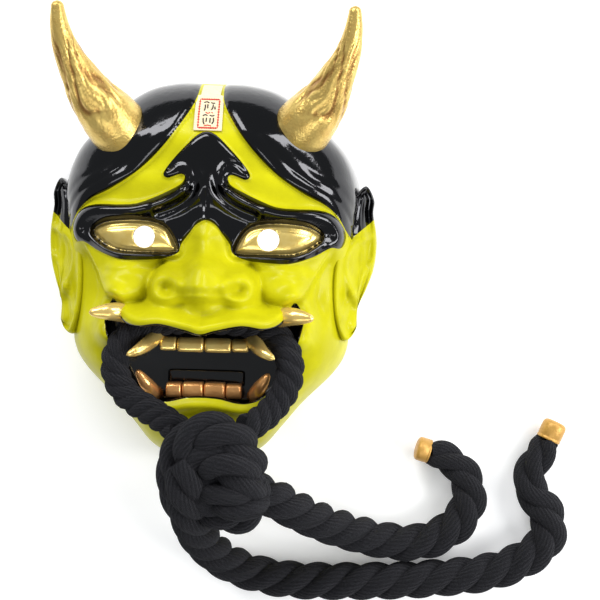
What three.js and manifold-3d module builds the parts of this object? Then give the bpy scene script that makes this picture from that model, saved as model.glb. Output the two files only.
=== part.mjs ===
// A hannya mask: one hollow resin casting with two seated horns, a paper seal and a rope through its mouth.
// Millimetres, +Z up. The mask lies face up on its flat rim at Z = 0, and X = 0 is its plane of symmetry.
// +Y points to the crown, and Y = 0 is midway between the chin and the horn tips.

import * as THREE from "three";
import { mergeVertices } from "three/addons/utils/BufferGeometryUtils.js";
import Module from "manifold-3d";

// Driving dimensions

const FACE_LENGTH = 248.4; // from the crown to the chin
const FACE_WIDTH = 198; // across the crown, without the ears
const FACE_DEPTH = 94; // from the rim to the top of the brow's dome
const WALL = 4; // of the cast shell
const LINING_WALL = 3; // of the black pocket behind the mouth
const POCKET_FLOOR = 44; // height of the pocket's floor over the rim
const SIGHT_HOLE = 14; // diameter
const HORN_LENGTH = 90; // from the seat to the tip, along the bend
const HORN_BASE = 36.5; // diameter at the seat
const TUSK_LENGTH = 17.5;
const TUSK_ROOT = 12;
const FANG_ROOT = 10;
const SEAL_WIDTH = 17;
const SEAL_NECK = 12; // its width over the crown
const SEAL_TOP = 103.5; // where the paper strip ends over the crown, along Y
const SEAL_SHOULDER = 93.2; // where it narrows
const SEAL_FOOT = 69;
const SEAL_THICKNESS = 1;
const ROPE_DIAMETER = 25; // of the two tails
const COLLAR_DIAMETER = 18; // where the rope is pulled tight through the mouth
const CAP_DIAMETER = 16;
const LONG_CAP_REACH = 13.5; // how far each cap stands out of the rope's end
const SHORT_CAP_REACH = 9.5;
const KNOT_LENGTH = 76;
const KNOT_WIDTH = 70;
const KNOT_THICKNESS = 62;
const CLEARANCE = 0.3; // between pieces that touch

// Facet counts

const FACE_SPOKES = 64;
const FACE_RINGS = 24;
const FACET_REACH = 2.2; // how far around a corner of a facet the face's height is averaged
const SIDE_CROWDING = 0.14; // how much closer the spokes lie beside the face than over the crown
const INSIDE_SPOKES = 36;
const INSIDE_RINGS = 12;
const ROPE_SIDES = 8;

// The carving is drawn at the size in the photograph and stretched to the driving dimensions.

const DRAWN = { length: 248.4, width: 198, depth: 94 };
const STRETCH = {
  x: FACE_WIDTH / DRAWN.width,
  y: FACE_LENGTH / DRAWN.length,
  z: FACE_DEPTH / DRAWN.depth,
};

// Drawn outlines and lines of the right half, as x and y in drawn millimetres

const HUB = [0, -25];
const OUTLINE = [
  [0, 110.6], [26, 110], [49, 102], [78, 77.5], [91, 61], [97.5, 40], [96, 12], [92.5, -15],
  [91.3, -40], [91.2, -62], [83, -78.5], [62.5, -99.5], [48.5, -116.5], [35.5, -131], [18, -138], [0, -138.2],
];
const CROWN_HEIGHTS = [[-138, 70], [-100, 72], [-60, 72], [-20, 73], [15, 75], [44, 83], [70, 91], [108, 94]];
const HAIRLINE = [
  [8, 114], [8.3, 91], [15.8, 74], [26.8, 58.8], [42, 44.3], [58, 33.9], [72.3, 27.4], [80.5, 21], [87, 12],
  [98, 2],
];
const BROW_PATCH = [
  [0, 68.6], [14.2, 58], [25.6, 44.6], [23.6, 40.4], [15.8, 42.8], [12.9, 41.3], [15, 36.5], [22.3, 32.7],
  [32, 28.4], [42.5, 24.6], [54, 23.8], [66.4, 24], [75, 22.7], [80.8, 19], [85.7, 11.7], [85.4, 5.5],
  [82.3, 1.8], [76, 1.4], [66.5, -4], [53, -9], [40.6, -9.4], [25, -7.8], [16.8, -4], [14.6, 1.7],
  [9.6, 8.3], [5.9, 12.9], [0, 15.7],
];
const BROW_ROLL = [[11, 38], [16, 31], [28, 24.5], [45, 20.5], [65, 20], [77, 16.5], [82, 9], [78, 3.5]];
const BROW_STRAND = [[5.5, 47], [5, 40], [7.5, 32.5], [13, 27], [21, 22.5], [29, 19.5]];
const EYE = [
  [70.5, 8], [63.5, 13], [51.5, 14.7], [40, 14.9], [30.5, 13.5], [23.4, 9.2], [17.9, -1.6], [21.5, -3.8],
  [30, -4], [42, -3.9], [54, -3], [63.5, 1],
];
const SIGHT_CENTRE = [38, 5];
const NOSE_RIDGE = [[-44, 0], [-36, 6], [-30, 13], [-24, 17], [-15, 16], [-5, 11], [5, 7], [15, 3], [24, 0]];
const NOSE_FOLD = [[27, -10], [31, -15.5], [33.6, -21.5], [34.6, -28], [36.5, -32.5], [42, -35], [51, -35.7]];
const CHEEK_EDGE = [[79, 3], [73, -8], [67, -19], [63.5, -26], [58, -31.5], [50, -35]];
const CHEEK_CREASE = [[61, -16.5], [53, -16.6], [42, -15], [31, -13.6]];
const LIP_FOLD = [[36, -35.5], [30, -35.2], [20, -38.5], [9, -43], [0, -45.7]];
const JAW_LINE = [[81, -6], [79, -25], [75, -50], [66, -76], [50, -100]];
const MOUTH = [
  [0, -53.2], [9, -50.8], [24, -47.7], [36, -49], [43.5, -47.6], [48.5, -44], [52, -38], [55, -33.6],
  [57.5, -35.5], [60, -41], [60.3, -46.5], [56.8, -59], [51.5, -71], [45, -83], [36, -92.5], [28, -95.6],
  [20, -95.3], [10.5, -93], [0, -92.3],
];
const POCKET = [
  [0, -31], [24, -31], [40, -31.5], [52, -32], [57.5, -33], [61.5, -38], [62.5, -47], [58.8, -60],
  [53, -72], [46.5, -84], [37, -94], [28, -97.2], [20, -96.9], [10.5, -94.6], [0, -94],
];
const EAR = [
  [100, 45], [106, 36], [105.5, 27], [108, 14], [108.4, 3], [106.5, -10], [101.5, -23], [96, -34],
  [95.2, -42], [95, -48], [91, -55], [86, -56], [81, -44], [79, -28], [79, -10], [81, 8], [86, 22], [93, 38],
];
const EAR_SPINE = [[98, 36], [95, -46]];
const EAR_TILT = 1.1; // rise for each millimetre towards the cheek

// The rope's route, as x, y and z in millimetres: points chosen by hand along its centre line

const COLLAR_ROUTE = [
  [-12, -110, 90], [-21, -105, 86], [-33, -99, 80.5], [-43.5, -93, 77.5], [-50.5, -84, 77], [-53, -74.5, 77],
  [-52, -65.5, 76], [-48, -57.5, 73], [-41, -51.5, 70.5], [-32, -47.6, 69.5], [-16, -45.5, 69.5],
  [0, -45, 69.5], [16, -45.5, 69.5], [32, -47.6, 69.5], [41, -51.5, 70.5], [48, -57.5, 73],
  [52.5, -66, 76], [53.5, -76, 77], [51, -86, 77], [45, -95.5, 78], [37, -103.5, 82], [28, -109, 87],
];
const LONG_TAIL_ROUTE = [
  [-6.5, -128, 97], [-6, -139, 96], [-6, -152.5, 86], [-5, -167.5, 70], [-2, -181.5, 52], [5, -195, 35],
  [15.5, -206.5, 21], [30.5, -214.5, 13.5], [50, -218.5, 12.8], [71.5, -219.5, 12.8], [97, -219, 12.8],
  [131, -217.5, 12.8], [157.5, -215, 12.8], [179, -212.5, 12.8], [194.5, -209, 12.8],
  [205, -205.5, 12.8], [215, -200, 12.8], [223.5, -194, 12.8], [229, -186, 12.8], [230, -177, 12.8],
  [227, -167.5, 12.8], [220.5, -159, 12.8], [216, -151.5, 12.8], [216, -144.5, 12.8], [219, -136, 12.8],
  [224, -128.5, 12.8], [227.5, -120.5, 12.8],
];
const SHORT_TAIL_ROUTE = [
  [25, -146.5, 79], [39.5, -150.5, 72], [52, -158.5, 62], [64.5, -167, 50], [79, -175.5, 37],
  [95.5, -183, 25], [112.5, -189, 16], [130, -192, 12.8], [145, -191, 12.8], [159, -185.5, 12.8],
  [169.5, -176.5, 12.8], [175, -165.5, 12.8], [175.5, -154, 12.8], [171.5, -144, 12.8],
  [164.5, -137.5, 12.8], [157.5, -133, 12.8], [148.5, -130.5, 12.8],
];

const COLLAR_STEPS = 26;
const LONG_TAIL_STEPS = 30;
const SHORT_TAIL_STEPS = 16;
const KNOT_CENTRE = [9, -134.8, 87];

// Plain numeric shapes

const clamp = (t) => Math.min(1, Math.max(0, t));
const bell = (distance, reach) => Math.exp(-((distance / reach) ** 2));

function rise(from, to, t) {
  const k = clamp((t - from) / (to - from));
  return k * k * (3 - 2 * k);
}

function mound(x, y, centre, reach) {
  return Math.exp(-(((x - centre[0]) / reach[0]) ** 2) - ((y - centre[1]) / reach[1]) ** 2);
}

function plateau(x, y, centre, reach) {
  return Math.exp(-((((x - centre[0]) / reach[0]) ** 2 + ((y - centre[1]) / reach[1]) ** 2) ** 2));
}

// A pillow edge: 0 at the border and 1 from the reach inwards
const rounded = (depth, reach) => Math.sqrt(1 - (1 - clamp(depth / reach)) ** 2);

function tabled(table, t) {
  const after = table.findIndex((row) => row[0] > t);
  if (after === 0) return table[0][1];
  if (after < 0) return table[table.length - 1][1];
  const [[t0, v0], [t1, v1]] = [table[after - 1], table[after]];
  return v0 + (v1 - v0) * rise(t0, t1, t);
}

// A uniform Catmull-Rom curve through the points, as plain coordinate arrays
function spline(points, closed, steps) {
  const count = points.length;
  const at = (i) => (closed ? points[(i + count) % count] : points[Math.min(count - 1, Math.max(0, i))]);
  const curve = [];
  for (let i = 0; i < (closed ? count : count - 1); i++) {
    for (let j = 0; j < steps; j++) {
      const t = j / steps;
      curve.push(
        at(i).map((p1, axis) => {
          const [p0, p2, p3] = [at(i - 1)[axis], at(i + 1)[axis], at(i + 2)[axis]];
          const bend = 2 * p0 - 5 * p1 + 4 * p2 - p3 + t * (3 * (p1 - p2) + p3 - p0);
          return p1 + 0.5 * t * (p2 - p0 + t * bend);
        }),
      );
    }
  }
  return closed ? curve : [...curve, points[count - 1]];
}

// A half outline that starts and ends on the plane of symmetry, closed with its mirror image
function mirrored(half) {
  const inner = half.slice(1, -1).reverse();
  return [...half, ...inner.map(([x, y]) => [-x, y])];
}

// The nearest point of an open curve: its distance, its share of the way and the side that the place lies on
function nearest(curve, x, y) {
  let best = { distance: Infinity, share: 0, side: 1 };
  for (let i = 0; i + 1 < curve.length; i++) {
    const [ax, ay] = curve[i];
    const [dx, dy] = [curve[i + 1][0] - ax, curve[i + 1][1] - ay];
    const t = clamp(((x - ax) * dx + (y - ay) * dy) / (dx * dx + dy * dy));
    const distance = Math.hypot(x - ax - t * dx, y - ay - t * dy);
    if (distance < best.distance) {
      const side = dx * (y - ay) - dy * (x - ax) >= 0 ? 1 : -1;
      best = { distance, share: (i + t) / (curve.length - 1), side };
    }
  }
  return best;
}

// The distance to a closed outline, positive inside it
function within(outline, x, y) {
  const loop = [...outline, outline[0]];
  let inside = false;
  for (let i = 0; i + 1 < loop.length; i++) {
    const [[ax, ay], [bx, by]] = [loop[i], loop[i + 1]];
    if (ay > y !== by > y && x < ax + ((y - ay) * (bx - ax)) / (by - ay)) inside = !inside;
  }
  return (inside ? 1 : -1) * nearest(loop, x, y).distance;
}

// The face as a height over the rim, in drawn millimetres

const CURVES = {
  outline: spline(mirrored(OUTLINE), true, 12),
  hairline: spline(HAIRLINE, false, 6),
  brow: spline(mirrored(BROW_PATCH), true, 4),
  roll: spline(BROW_ROLL, false, 6),
  strand: spline(BROW_STRAND, false, 6),
  eye: spline(EYE, true, 5),
  noseFold: spline(NOSE_FOLD, false, 6),
  cheekEdge: spline(CHEEK_EDGE, false, 6),
  cheekCrease: spline(CHEEK_CREASE, false, 5),
  lipFold: spline(LIP_FOLD, false, 5),
  jaw: spline(JAW_LINE, false, 5),
  mouth: spline(mirrored(MOUTH), true, 2),
};

const OUTLINE_RADII = CURVES.outline
  .map(([x, y]) => [Math.atan2(y - HUB[1], x - HUB[0]), Math.hypot(x - HUB[0], y - HUB[1])])
  .sort((a, b) => a[0] - b[0]);

function outlineRadius(angle) {
  const turn = Math.atan2(Math.sin(angle), Math.cos(angle));
  const after = OUTLINE_RADII.findIndex((row) => row[0] > turn);
  const high = OUTLINE_RADII[Math.max(after, 0)];
  const low = after < 0 ? OUTLINE_RADII.at(-1) : OUTLINE_RADII.at(after - 1);
  const span = (high[0] - low[0] + 4 * Math.PI) % (2 * Math.PI);
  const part = (turn - low[0] + 4 * Math.PI) % (2 * Math.PI);
  return low[1] + ((high[1] - low[1]) * part) / span;
}

function crownRelief(x, y) {
  const hair = nearest(CURVES.hairline, x, y);
  const depth = hair.side * hair.distance;
  const band = depth / (15 - 9 * hair.share);
  const locks = 1.1 * bell(band - 0.8, 0.14) + 0.5 * bell(band - 1.5, 0.2);
  return 4.5 * rounded(depth + 0.5, 5) - locks * rise(0.25, 0.6, hair.share) * rise(100, 84, y);
}

function browRelief(x, y) {
  const patch = within(CURVES.brow, x, y);
  const roll = nearest(CURVES.roll, x, y);
  const strand = nearest(CURVES.strand, x, y);
  const ends = rise(0, 0.12, roll.share) * (1 - 0.5 * rise(0.85, 1, roll.share));
  const bulge = 5 * mound(x, y, [0, 38], [13, 22]);
  const middle = 1.6 * bell(x, 1.4) * rise(13, 17, y) * rise(36, 28, y);
  const grooves = 2 * bell(strand.distance, 1.8) * rise(0, 0.3, strand.share) + middle;
  const ridges = 1.2 * bell(strand.distance - 4, 1.8) * rise(0.1, 0.4, strand.share);
  return 3 * rounded(patch + 0.3, 4) + 6.5 * bell(roll.distance, 5) * ends + bulge - grooves + ridges;
}

function eyeRelief(x, y) {
  const lid = within(CURVES.eye, x, y);
  const rim = 2 * bell(lid + 2.6, 1.5) * rise(8, -2, y);
  return rim - 6.5 * rise(-3, 0.8, lid) + 6 * rounded(lid, 9.5);
}

function noseRelief(x, y) {
  const ridge = tabled(NOSE_RIDGE, y) * bell(x, 8 + 6 * rise(5, -24, y));
  const tip = 15 * plateau(x, y, [0, -22.3], [16, 14]);
  const wing = 15 * plateau(x, y, [23, -24.5], [11.5, 11.5]);
  const nostril = 6.5 * mound(x, y, [21, -26.8], [5.5, 4]);
  const nostrilRim = 2.5 * mound(x, y, [17, -32.6], [6, 3]);
  return ridge + tip + wing - nostril + nostrilRim;
}

function cheekRelief(x, y) {
  const fold = nearest(CURVES.noseFold, x, y);
  const edge = nearest(CURVES.cheekEdge, x, y);
  const crease = nearest(CURVES.cheekCrease, x, y);
  const depth = -edge.side * edge.distance;
  const ends = rise(0, 0.2, edge.share) * rise(1, 0.8, edge.share);
  const drop = 7 * rise(2.5, -2.5, depth) * bell(Math.min(depth, 0), 22) * ends;
  const ball = 9 * plateau(x, y, [50, -22.5], [16, 10.5]) + 4 * mound(x, y, [48, -11], [22, 8]);
  return ball - drop - 5 * bell(fold.distance, 2.6) - 1.2 * bell(crease.distance, 2.2);
}

function mouthRelief(x, y) {
  const lips = within(CURVES.mouth, x, y);
  const fold = nearest(CURVES.lipFold, x, y);
  const muzzle = 22 * Math.exp(-((x / 55) ** 4)) * bell(y + 50, 17);
  const upper = 8 * bell(lips + 4, 6) * rise(-66, -54, y);
  const lower = 5 * bell(lips + 5, 5) * rise(-82, -92, y);
  return muzzle + upper + lower - bell(fold.distance, 3);
}

function jawRelief(x, y) {
  const line = nearest(CURVES.jaw, x, y);
  const chin = 7 * mound(x, y, [0, -119], [20, 12]) - 3 * bell(y + 105, 4) * bell(x, 22);
  return chin + 3 * bell(line.distance, 8) - 3 * mound(x, y, [67, -38], [8, 12]);
}

function drawnHeight(signedX, y) {
  const x = Math.abs(signedX);
  const radius = Math.hypot(x - HUB[0], y - HUB[1]);
  const reach = outlineRadius(Math.atan2(y - HUB[1], x - HUB[0]));
  const share = radius / reach;
  if (share >= 1) return -4 * (radius - reach);
  const dome = tabled(CROWN_HEIGHTS, y) * (1 - share ** 5) ** 0.435;
  const parts = [crownRelief, browRelief, eyeRelief, noseRelief, cheekRelief, mouthRelief, jawRelief];
  const relief = parts.reduce((sum, part) => sum + part(x, y), 0);
  return dome + relief * rise(1, 0.93, share);
}

// The same height in real millimetres

function faceHeight(x, y) {
  return STRETCH.z * drawnHeight(x / STRETCH.x, y / STRETCH.y);
}

// The mean height over a small patch, so that facets don't catch single creases
function castHeight(x, y) {
  let sum = 2 * faceHeight(x, y);
  for (let turn = 0; turn < 8; turn++) {
    const angle = (Math.PI * turn) / 4;
    sum += faceHeight(x + FACET_REACH * Math.cos(angle), y + FACET_REACH * Math.sin(angle));
  }
  return Math.max(sum / 10, 0.02);
}

const real = ([x, y]) => [x * STRETCH.x, y * STRETCH.y];

// Meshes and solids

const wasm = await Module();
wasm.setup();

const apart = (p, q) => Math.hypot(p[0] - q[0], p[1] - q[1], p[2] - q[2]);

// A closed skin over rings of points, with a pole at each end
// Each four-sided gap is split along its shorter diagonal.
function loft(poleA, rings, poleB) {
  const sides = rings[0].length;
  const points = [poleA, ...rings.flat(), poleB];
  const at = (ring, side) => 1 + ring * sides + (side % sides);
  const faces = [];
  for (let side = 0; side < sides; side++) {
    faces.push(0, at(0, side), at(0, side + 1));
    faces.push(points.length - 1, at(rings.length - 1, side + 1), at(rings.length - 1, side));
    for (let ring = 0; ring + 1 < rings.length; ring++) {
      const [a, b, c, d] = [at(ring, side), at(ring + 1, side), at(ring + 1, side + 1), at(ring, side + 1)];
      const along = apart(points[a], points[c]) < apart(points[b], points[d]);
      faces.push(...(along ? [a, b, c, a, c, d] : [a, b, d, b, c, d]));
    }
  }
  const geometry = new THREE.BufferGeometry();
  geometry.setAttribute("position", new THREE.Float32BufferAttribute(points.flat(), 3));
  geometry.setIndex(faces);
  return facingOut(geometry);
}

function volumeOf(geometry) {
  const [place, index] = [geometry.attributes.position, geometry.index];
  const [a, b, c] = [new THREE.Vector3(), new THREE.Vector3(), new THREE.Vector3()];
  let volume = 0;
  for (let i = 0; i < index.count; i += 3) {
    a.fromBufferAttribute(place, index.getX(i));
    b.fromBufferAttribute(place, index.getX(i + 1));
    c.fromBufferAttribute(place, index.getX(i + 2));
    volume += a.dot(b.cross(c)) / 6;
  }
  return volume;
}

function facingOut(geometry) {
  if (volumeOf(geometry) < 0) geometry.index.array.reverse();
  return geometry;
}

function solid(geometry) {
  const bare = geometry.clone();
  bare.deleteAttribute("normal");
  bare.deleteAttribute("uv");
  const merged = facingOut(mergeVertices(bare, 1e-4));
  const vertProperties = Float32Array.from(merged.attributes.position.array);
  const triVerts = Uint32Array.from(merged.index.array);
  return new wasm.Manifold(new wasm.Mesh({ numProp: 3, vertProperties, triVerts }));
}

function geometryOf(manifold) {
  const mesh = manifold.getMesh();
  const geometry = new THREE.BufferGeometry();
  geometry.setAttribute("position", new THREE.Float32BufferAttribute(mesh.vertProperties, 3));
  geometry.setIndex(Array.from(mesh.triVerts));
  return geometry;
}

// A straight prism over an outline, between two heights
function prism(outline, low, high) {
  const shape = new THREE.Shape(outline.map(([x, y]) => new THREE.Vector2(x, y)));
  const geometry = new THREE.ExtrudeGeometry(shape, { depth: high - low, bevelEnabled: false });
  return solid(geometry.translate(0, 0, low));
}

// The outline pushed outwards by a distance
function grown(outline, distance) {
  return outline.map(([x, y], i) => {
    const [ax, ay] = outline[(i + outline.length - 1) % outline.length];
    const [bx, by] = outline[(i + 1) % outline.length];
    const length = Math.hypot(bx - ax, by - ay);
    const away = within(outline, x + (by - ay) * 0.01, y - (bx - ax) * 0.01) < 0 ? 1 : -1;
    return [x + (away * distance * (by - ay)) / length, y - (away * distance * (bx - ax)) / length];
  });
}

// The dome of the face over a range of shares of its outline's radius
function dome(spokes, rings, inset, height, foot) {
  const [hubX, hubY] = real(HUB);
  const circles = [];
  for (let ring = 1; ring <= rings; ring++) {
    const share = Math.sin((Math.PI / 2) * (ring / rings));
    const circle = [];
    for (let spoke = 0; spoke < spokes; spoke++) {
      const even = (2 * Math.PI * (spoke + 0.5)) / spokes;
      const angle = even - SIDE_CROWDING * Math.sin(2 * even);
      const reach = outlineRadius(angle) * share;
      const [edgeX, edgeY] = [Math.cos(angle) * reach * STRETCH.x, Math.sin(angle) * reach * STRETCH.y];
      const length = Math.hypot(edgeX, edgeY);
      const keep = (length - inset * share) / length;
      const [x, y] = [hubX + edgeX * keep, hubY + edgeY * keep];
      circle.push([x, y, ring === rings ? foot : height(x, y)]);
    }
    circles.push(circle);
  }
  return loft([hubX, hubY, height(hubX, hubY)], circles, [hubX, hubY, foot]);
}

// The face's inside lies one wall below its outside, measured square to the surface.
function insideHeight(x, y) {
  let lowest = faceHeight(x, y) - WALL;
  for (const share of [0.5, 0.85, 1]) {
    for (let turn = 0; turn < 8; turn++) {
      const [away, angle] = [WALL * share, (Math.PI * turn) / 4];
      const height = faceHeight(x + away * Math.cos(angle), y + away * Math.sin(angle));
      lowest = Math.min(lowest, height - Math.sqrt(WALL ** 2 - away ** 2));
    }
  }
  return lowest;
}

// A tapering horn-like form along points, round in section
function taper(points, radii, sides) {
  const curve = new THREE.CatmullRomCurve3(points.map((point) => new THREE.Vector3(...point)));
  const steps = radii.length - 1;
  const frames = curve.computeFrenetFrames(steps, false);
  const rings = radii.slice(0, steps).map((radius, i) => {
    const centre = curve.getPointAt(i / steps);
    return Array.from({ length: sides }, (_, side) => {
      const angle = (2 * Math.PI * side) / sides;
      const place = centre.clone();
      place.addScaledVector(frames.normals[i], radius * Math.cos(angle));
      place.addScaledVector(frames.binormals[i], radius * Math.sin(angle));
      return place.toArray();
    });
  });
  return loft(points[0], rings, curve.getPointAt(1).toArray());
}

// Teeth, fangs, tusks and gums: all stand in the pocket behind the lips

const UPPER_TEETH = { edges: [0, 17, 27.6], root: -56.8, tip: -65, low: 56, high: 71 };
const LOWER_TEETH = { edges: [0, 13.6, 23.6], root: -93, tip: -84, low: 52, high: 67 };

function tooth(left, right, row) {
  const [half, centre] = [(right - left) / 2 - 0.1, (left + right) / 2];
  const sag = 1.8 * (1 - bell(centre, 30));
  const shares = [[0, 0.96, 0.7], [0.35, 1, 1], [1, 0.93, 0.8]];
  const middle = (row.low + row.high) / 2;
  const rings = shares.map(([along, wide, deep]) => {
    const y = row.root + (row.tip - row.root) * along + Math.sign(row.root - row.tip) * sag * along;
    return Array.from({ length: 8 }, (_, side) => {
      const angle = (Math.PI * (side + 0.5)) / 4;
      const square = Math.max(Math.abs(Math.cos(angle)), Math.abs(Math.sin(angle)));
      const out = 0.97 / square;
      return [
        centre + half * wide * Math.cos(angle) * out,
        y,
        middle + ((row.high - row.low) / 2) * deep * Math.sin(angle) * out,
      ];
    });
  });
  const pole = (ring) => [centre, ring[0][1], middle];
  return solid(loft(pole(rings[0]), rings, pole(rings[2])));
}

function teeth(row) {
  const spans = row.edges.slice(1).flatMap((edge, i) => [[row.edges[i], edge], [-edge, -row.edges[i]]]);
  return spans.map(([left, right]) => tooth(left, right, row));
}

function gum(reach, front, back, top) {
  const outline = [[-reach, back], [reach, back], [reach, front], [0, front], [-reach, front]];
  return prism(outline, POCKET_FLOOR - LINING_WALL / 2, top);
}

const bothSides = (points) => [1, -1].map((side) => points.map(([x, y, z]) => [side * x, y, z]));

function fangs() {
  const shares = [1, 1, 0.97, 0.86, 0.62, 0];
  const radii = shares.map((share) => (share * FANG_ROOT) / 2);
  const upper = [[29, -50.5, 58], [30, -54.5, 67], [32.5, -59, 76], [37.8, -63.5, 84], [44.3, -66.8, 89]];
  const lower = [[31, -93, 50], [32.3, -90.5, 60], [35.5, -85, 67], [38.6, -80, 70], [40.8, -76.6, 71]];
  return [...bothSides(upper), ...bothSides(lower)].map((points) => solid(taper(points, radii, 8)));
}

function tusks() {
  const radii = [1, 1, 0.97, 0.86, 0.6, 0].map((share) => (share * TUSK_ROOT) / 2);
  const way = [[-0.35, -0.1, -0.9], [0, 0, -0.28], [0.3, 0.02, 0], [0.65, 0, 0.16], [1, -0.02, 0.34]];
  const root = [49.5, -41.5, 85];
  const points = way.map((step) => step.map((share, axis) => root[axis] + share * TUSK_LENGTH));
  return bothSides(points).map((side) => solid(taper(side, radii, 8)));
}

// An ear: a folded leaf beside the face, which tilts up towards the cheek

function earHeight(x, z) {
  const edge = Math.max(...EAR.map((point) => point[0])) * STRETCH.x;
  return z * STRETCH.z + EAR_TILT * (edge - x);
}

function ear(side) {
  const outline = spline(EAR, true, 1).map(real);
  const [top, foot] = EAR_SPINE.map(real);
  const levels = [[0.9, 7], [1, 16], [0.93, 25], [0.72, 28], [0.45, 23]];
  const rings = levels.map(([share, z]) =>
    outline.map(([x, y]) => {
      const along = clamp((y - foot[1]) / (top[1] - foot[1]));
      const spineX = foot[0] + (top[0] - foot[0]) * along;
      const spineY = Math.min(top[1], Math.max(foot[1], y));
      const earX = spineX + (x - spineX) * share;
      return [side * earX, spineY + (y - spineY) * share, earHeight(earX, z)];
    }),
  );
  const middle = [(side * (top[0] + foot[0])) / 2, (top[1] + foot[1]) / 2];
  const pole = (z) => [...middle, earHeight(side * middle[0], z)];
  return solid(loft(pole(levels[0][1]), rings, pole(levels.at(-1)[1])));
}

// The casting

const face = solid(dome(FACE_SPOKES, FACE_RINGS, 0, castHeight, 0));
const hollow = solid(dome(INSIDE_SPOKES, INSIDE_RINGS, WALL, insideHeight, -WALL));
const ABOVE = 2 * FACE_DEPTH;

function sightHole(side) {
  const [x, y] = real(SIGHT_CENTRE);
  const drill = new THREE.CylinderGeometry(SIGHT_HOLE / 2, SIGHT_HOLE / 2, ABOVE, 20);
  return solid(drill.rotateX(Math.PI / 2).translate(side * x, y, ABOVE / 2));
}

function castShell() {
  const mouth = CURVES.mouth.map(real);
  const pocket = spline(mirrored(POCKET), true, 1).map(real);
  const lining = prism(grown(pocket, LINING_WALL), POCKET_FLOOR - LINING_WALL, ABOVE).intersect(face);
  const bay = prism(pocket, POCKET_FLOOR, ABOVE).intersect(hollow);
  let casting = face.add(ear(1)).add(ear(-1)).subtract(hollow).add(lining);
  casting = casting.subtract(prism(mouth, POCKET_FLOOR, ABOVE)).subtract(bay);
  casting = casting.add(gum(31, -52.5, -58, 62)).add(gum(30, -88.5, -95.5, 56));
  for (const piece of [...teeth(UPPER_TEETH), ...teeth(LOWER_TEETH), ...fangs(), ...tusks()]) {
    casting = casting.add(piece);
  }
  casting = casting.subtract(solid(ropeAlong(COLLAR_ROUTE, COLLAR_DIAMETER, COLLAR_STEPS, CLEARANCE)));
  return casting.subtract(sightHole(1)).subtract(sightHole(-1));
}

// The horns are seated on the crown and cut to its shape.

const HORN_SEATS = { right: [57.5, 75.5], left: [57, 73.2] }; // the left one sits a little lower
const HORN_WAY = [
  [-0.14, -0.16, -0.2], [0, 0, 0], [0.139, 0.161, 0.14], [0.217, 0.3, 0.25], [0.277, 0.433, 0.34],
  [0.302, 0.539, 0.4], [0.309, 0.631, 0.44], [0.308, 0.699, 0.467],
];
const HORN_SWELL = [0.95, 0.98, 1, 1, 0.94, 0.84, 0.73, 0.62, 0.52, 0.43, 0.34, 0.24, 0];

function horn(side) {
  const [x, y] = real(side > 0 ? HORN_SEATS.right : HORN_SEATS.left);
  const seat = [side * x, y, faceHeight(x, y)];
  const way = HORN_WAY.map(([dx, dy, dz]) => [side * dx, dy, dz]);
  const points = way.map((step) => step.map((share, axis) => seat[axis] + share * HORN_LENGTH));
  const form = solid(taper(points, HORN_SWELL.map((share) => (share * HORN_BASE) / 2), 12));
  const lifted = (dx, dy, dz) => face.translate([side * dx * CLEARANCE, dy * CLEARANCE, dz * CLEARANCE]);
  return form.subtract(lifted(0, 0, 1.3)).subtract(lifted(1, 1, 0.9));
}

// The paper seal lies on the forehead.
// It is cut from the face's own facets, lifted straight up and also forwards, so that it has one thickness.
function paperSeal() {
  const [foot, shoulder, top] = [SEAL_FOOT, SEAL_SHOULDER, SEAL_TOP].map((row) => row * STRETCH.y);
  const strip = (width, end) => {
    const half = width / 2;
    return prism([[-half, foot], [half, foot], [half, end], [-half, end]], 0, ABOVE);
  };
  const outline = strip(SEAL_WIDTH, shoulder).add(strip(SEAL_NECK, top));
  const slant = Math.SQRT1_2;
  const lifted = (by) => face.translate([0, 0, by]).add(face.translate([0, slant * by, slant * by]));
  return outline.intersect(lifted(CLEARANCE + SEAL_THICKNESS)).subtract(lifted(CLEARANCE));
}

// The rope, its knot and its end caps

function ropeShape(radius) {
  const corners = Array.from({ length: ROPE_SIDES }, (_, side) => {
    const angle = (2 * Math.PI * side) / ROPE_SIDES;
    return new THREE.Vector2(radius * Math.cos(angle), radius * Math.sin(angle));
  });
  return new THREE.Shape(corners);
}

function ropeAlong(route, diameter, steps, extra = 0) {
  const points = route.map((point) => new THREE.Vector3(...point));
  if (extra > 0) {
    const [first, last] = [points[0], points.at(-1)];
    first.addScaledVector(points[1].clone().sub(first).normalize(), -extra);
    last.addScaledVector(points.at(-2).clone().sub(last).normalize(), -extra);
  }
  const extrudePath = new THREE.CatmullRomCurve3(points);
  return new THREE.ExtrudeGeometry(ropeShape(diameter / 2 + extra), { steps, extrudePath });
}

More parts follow.
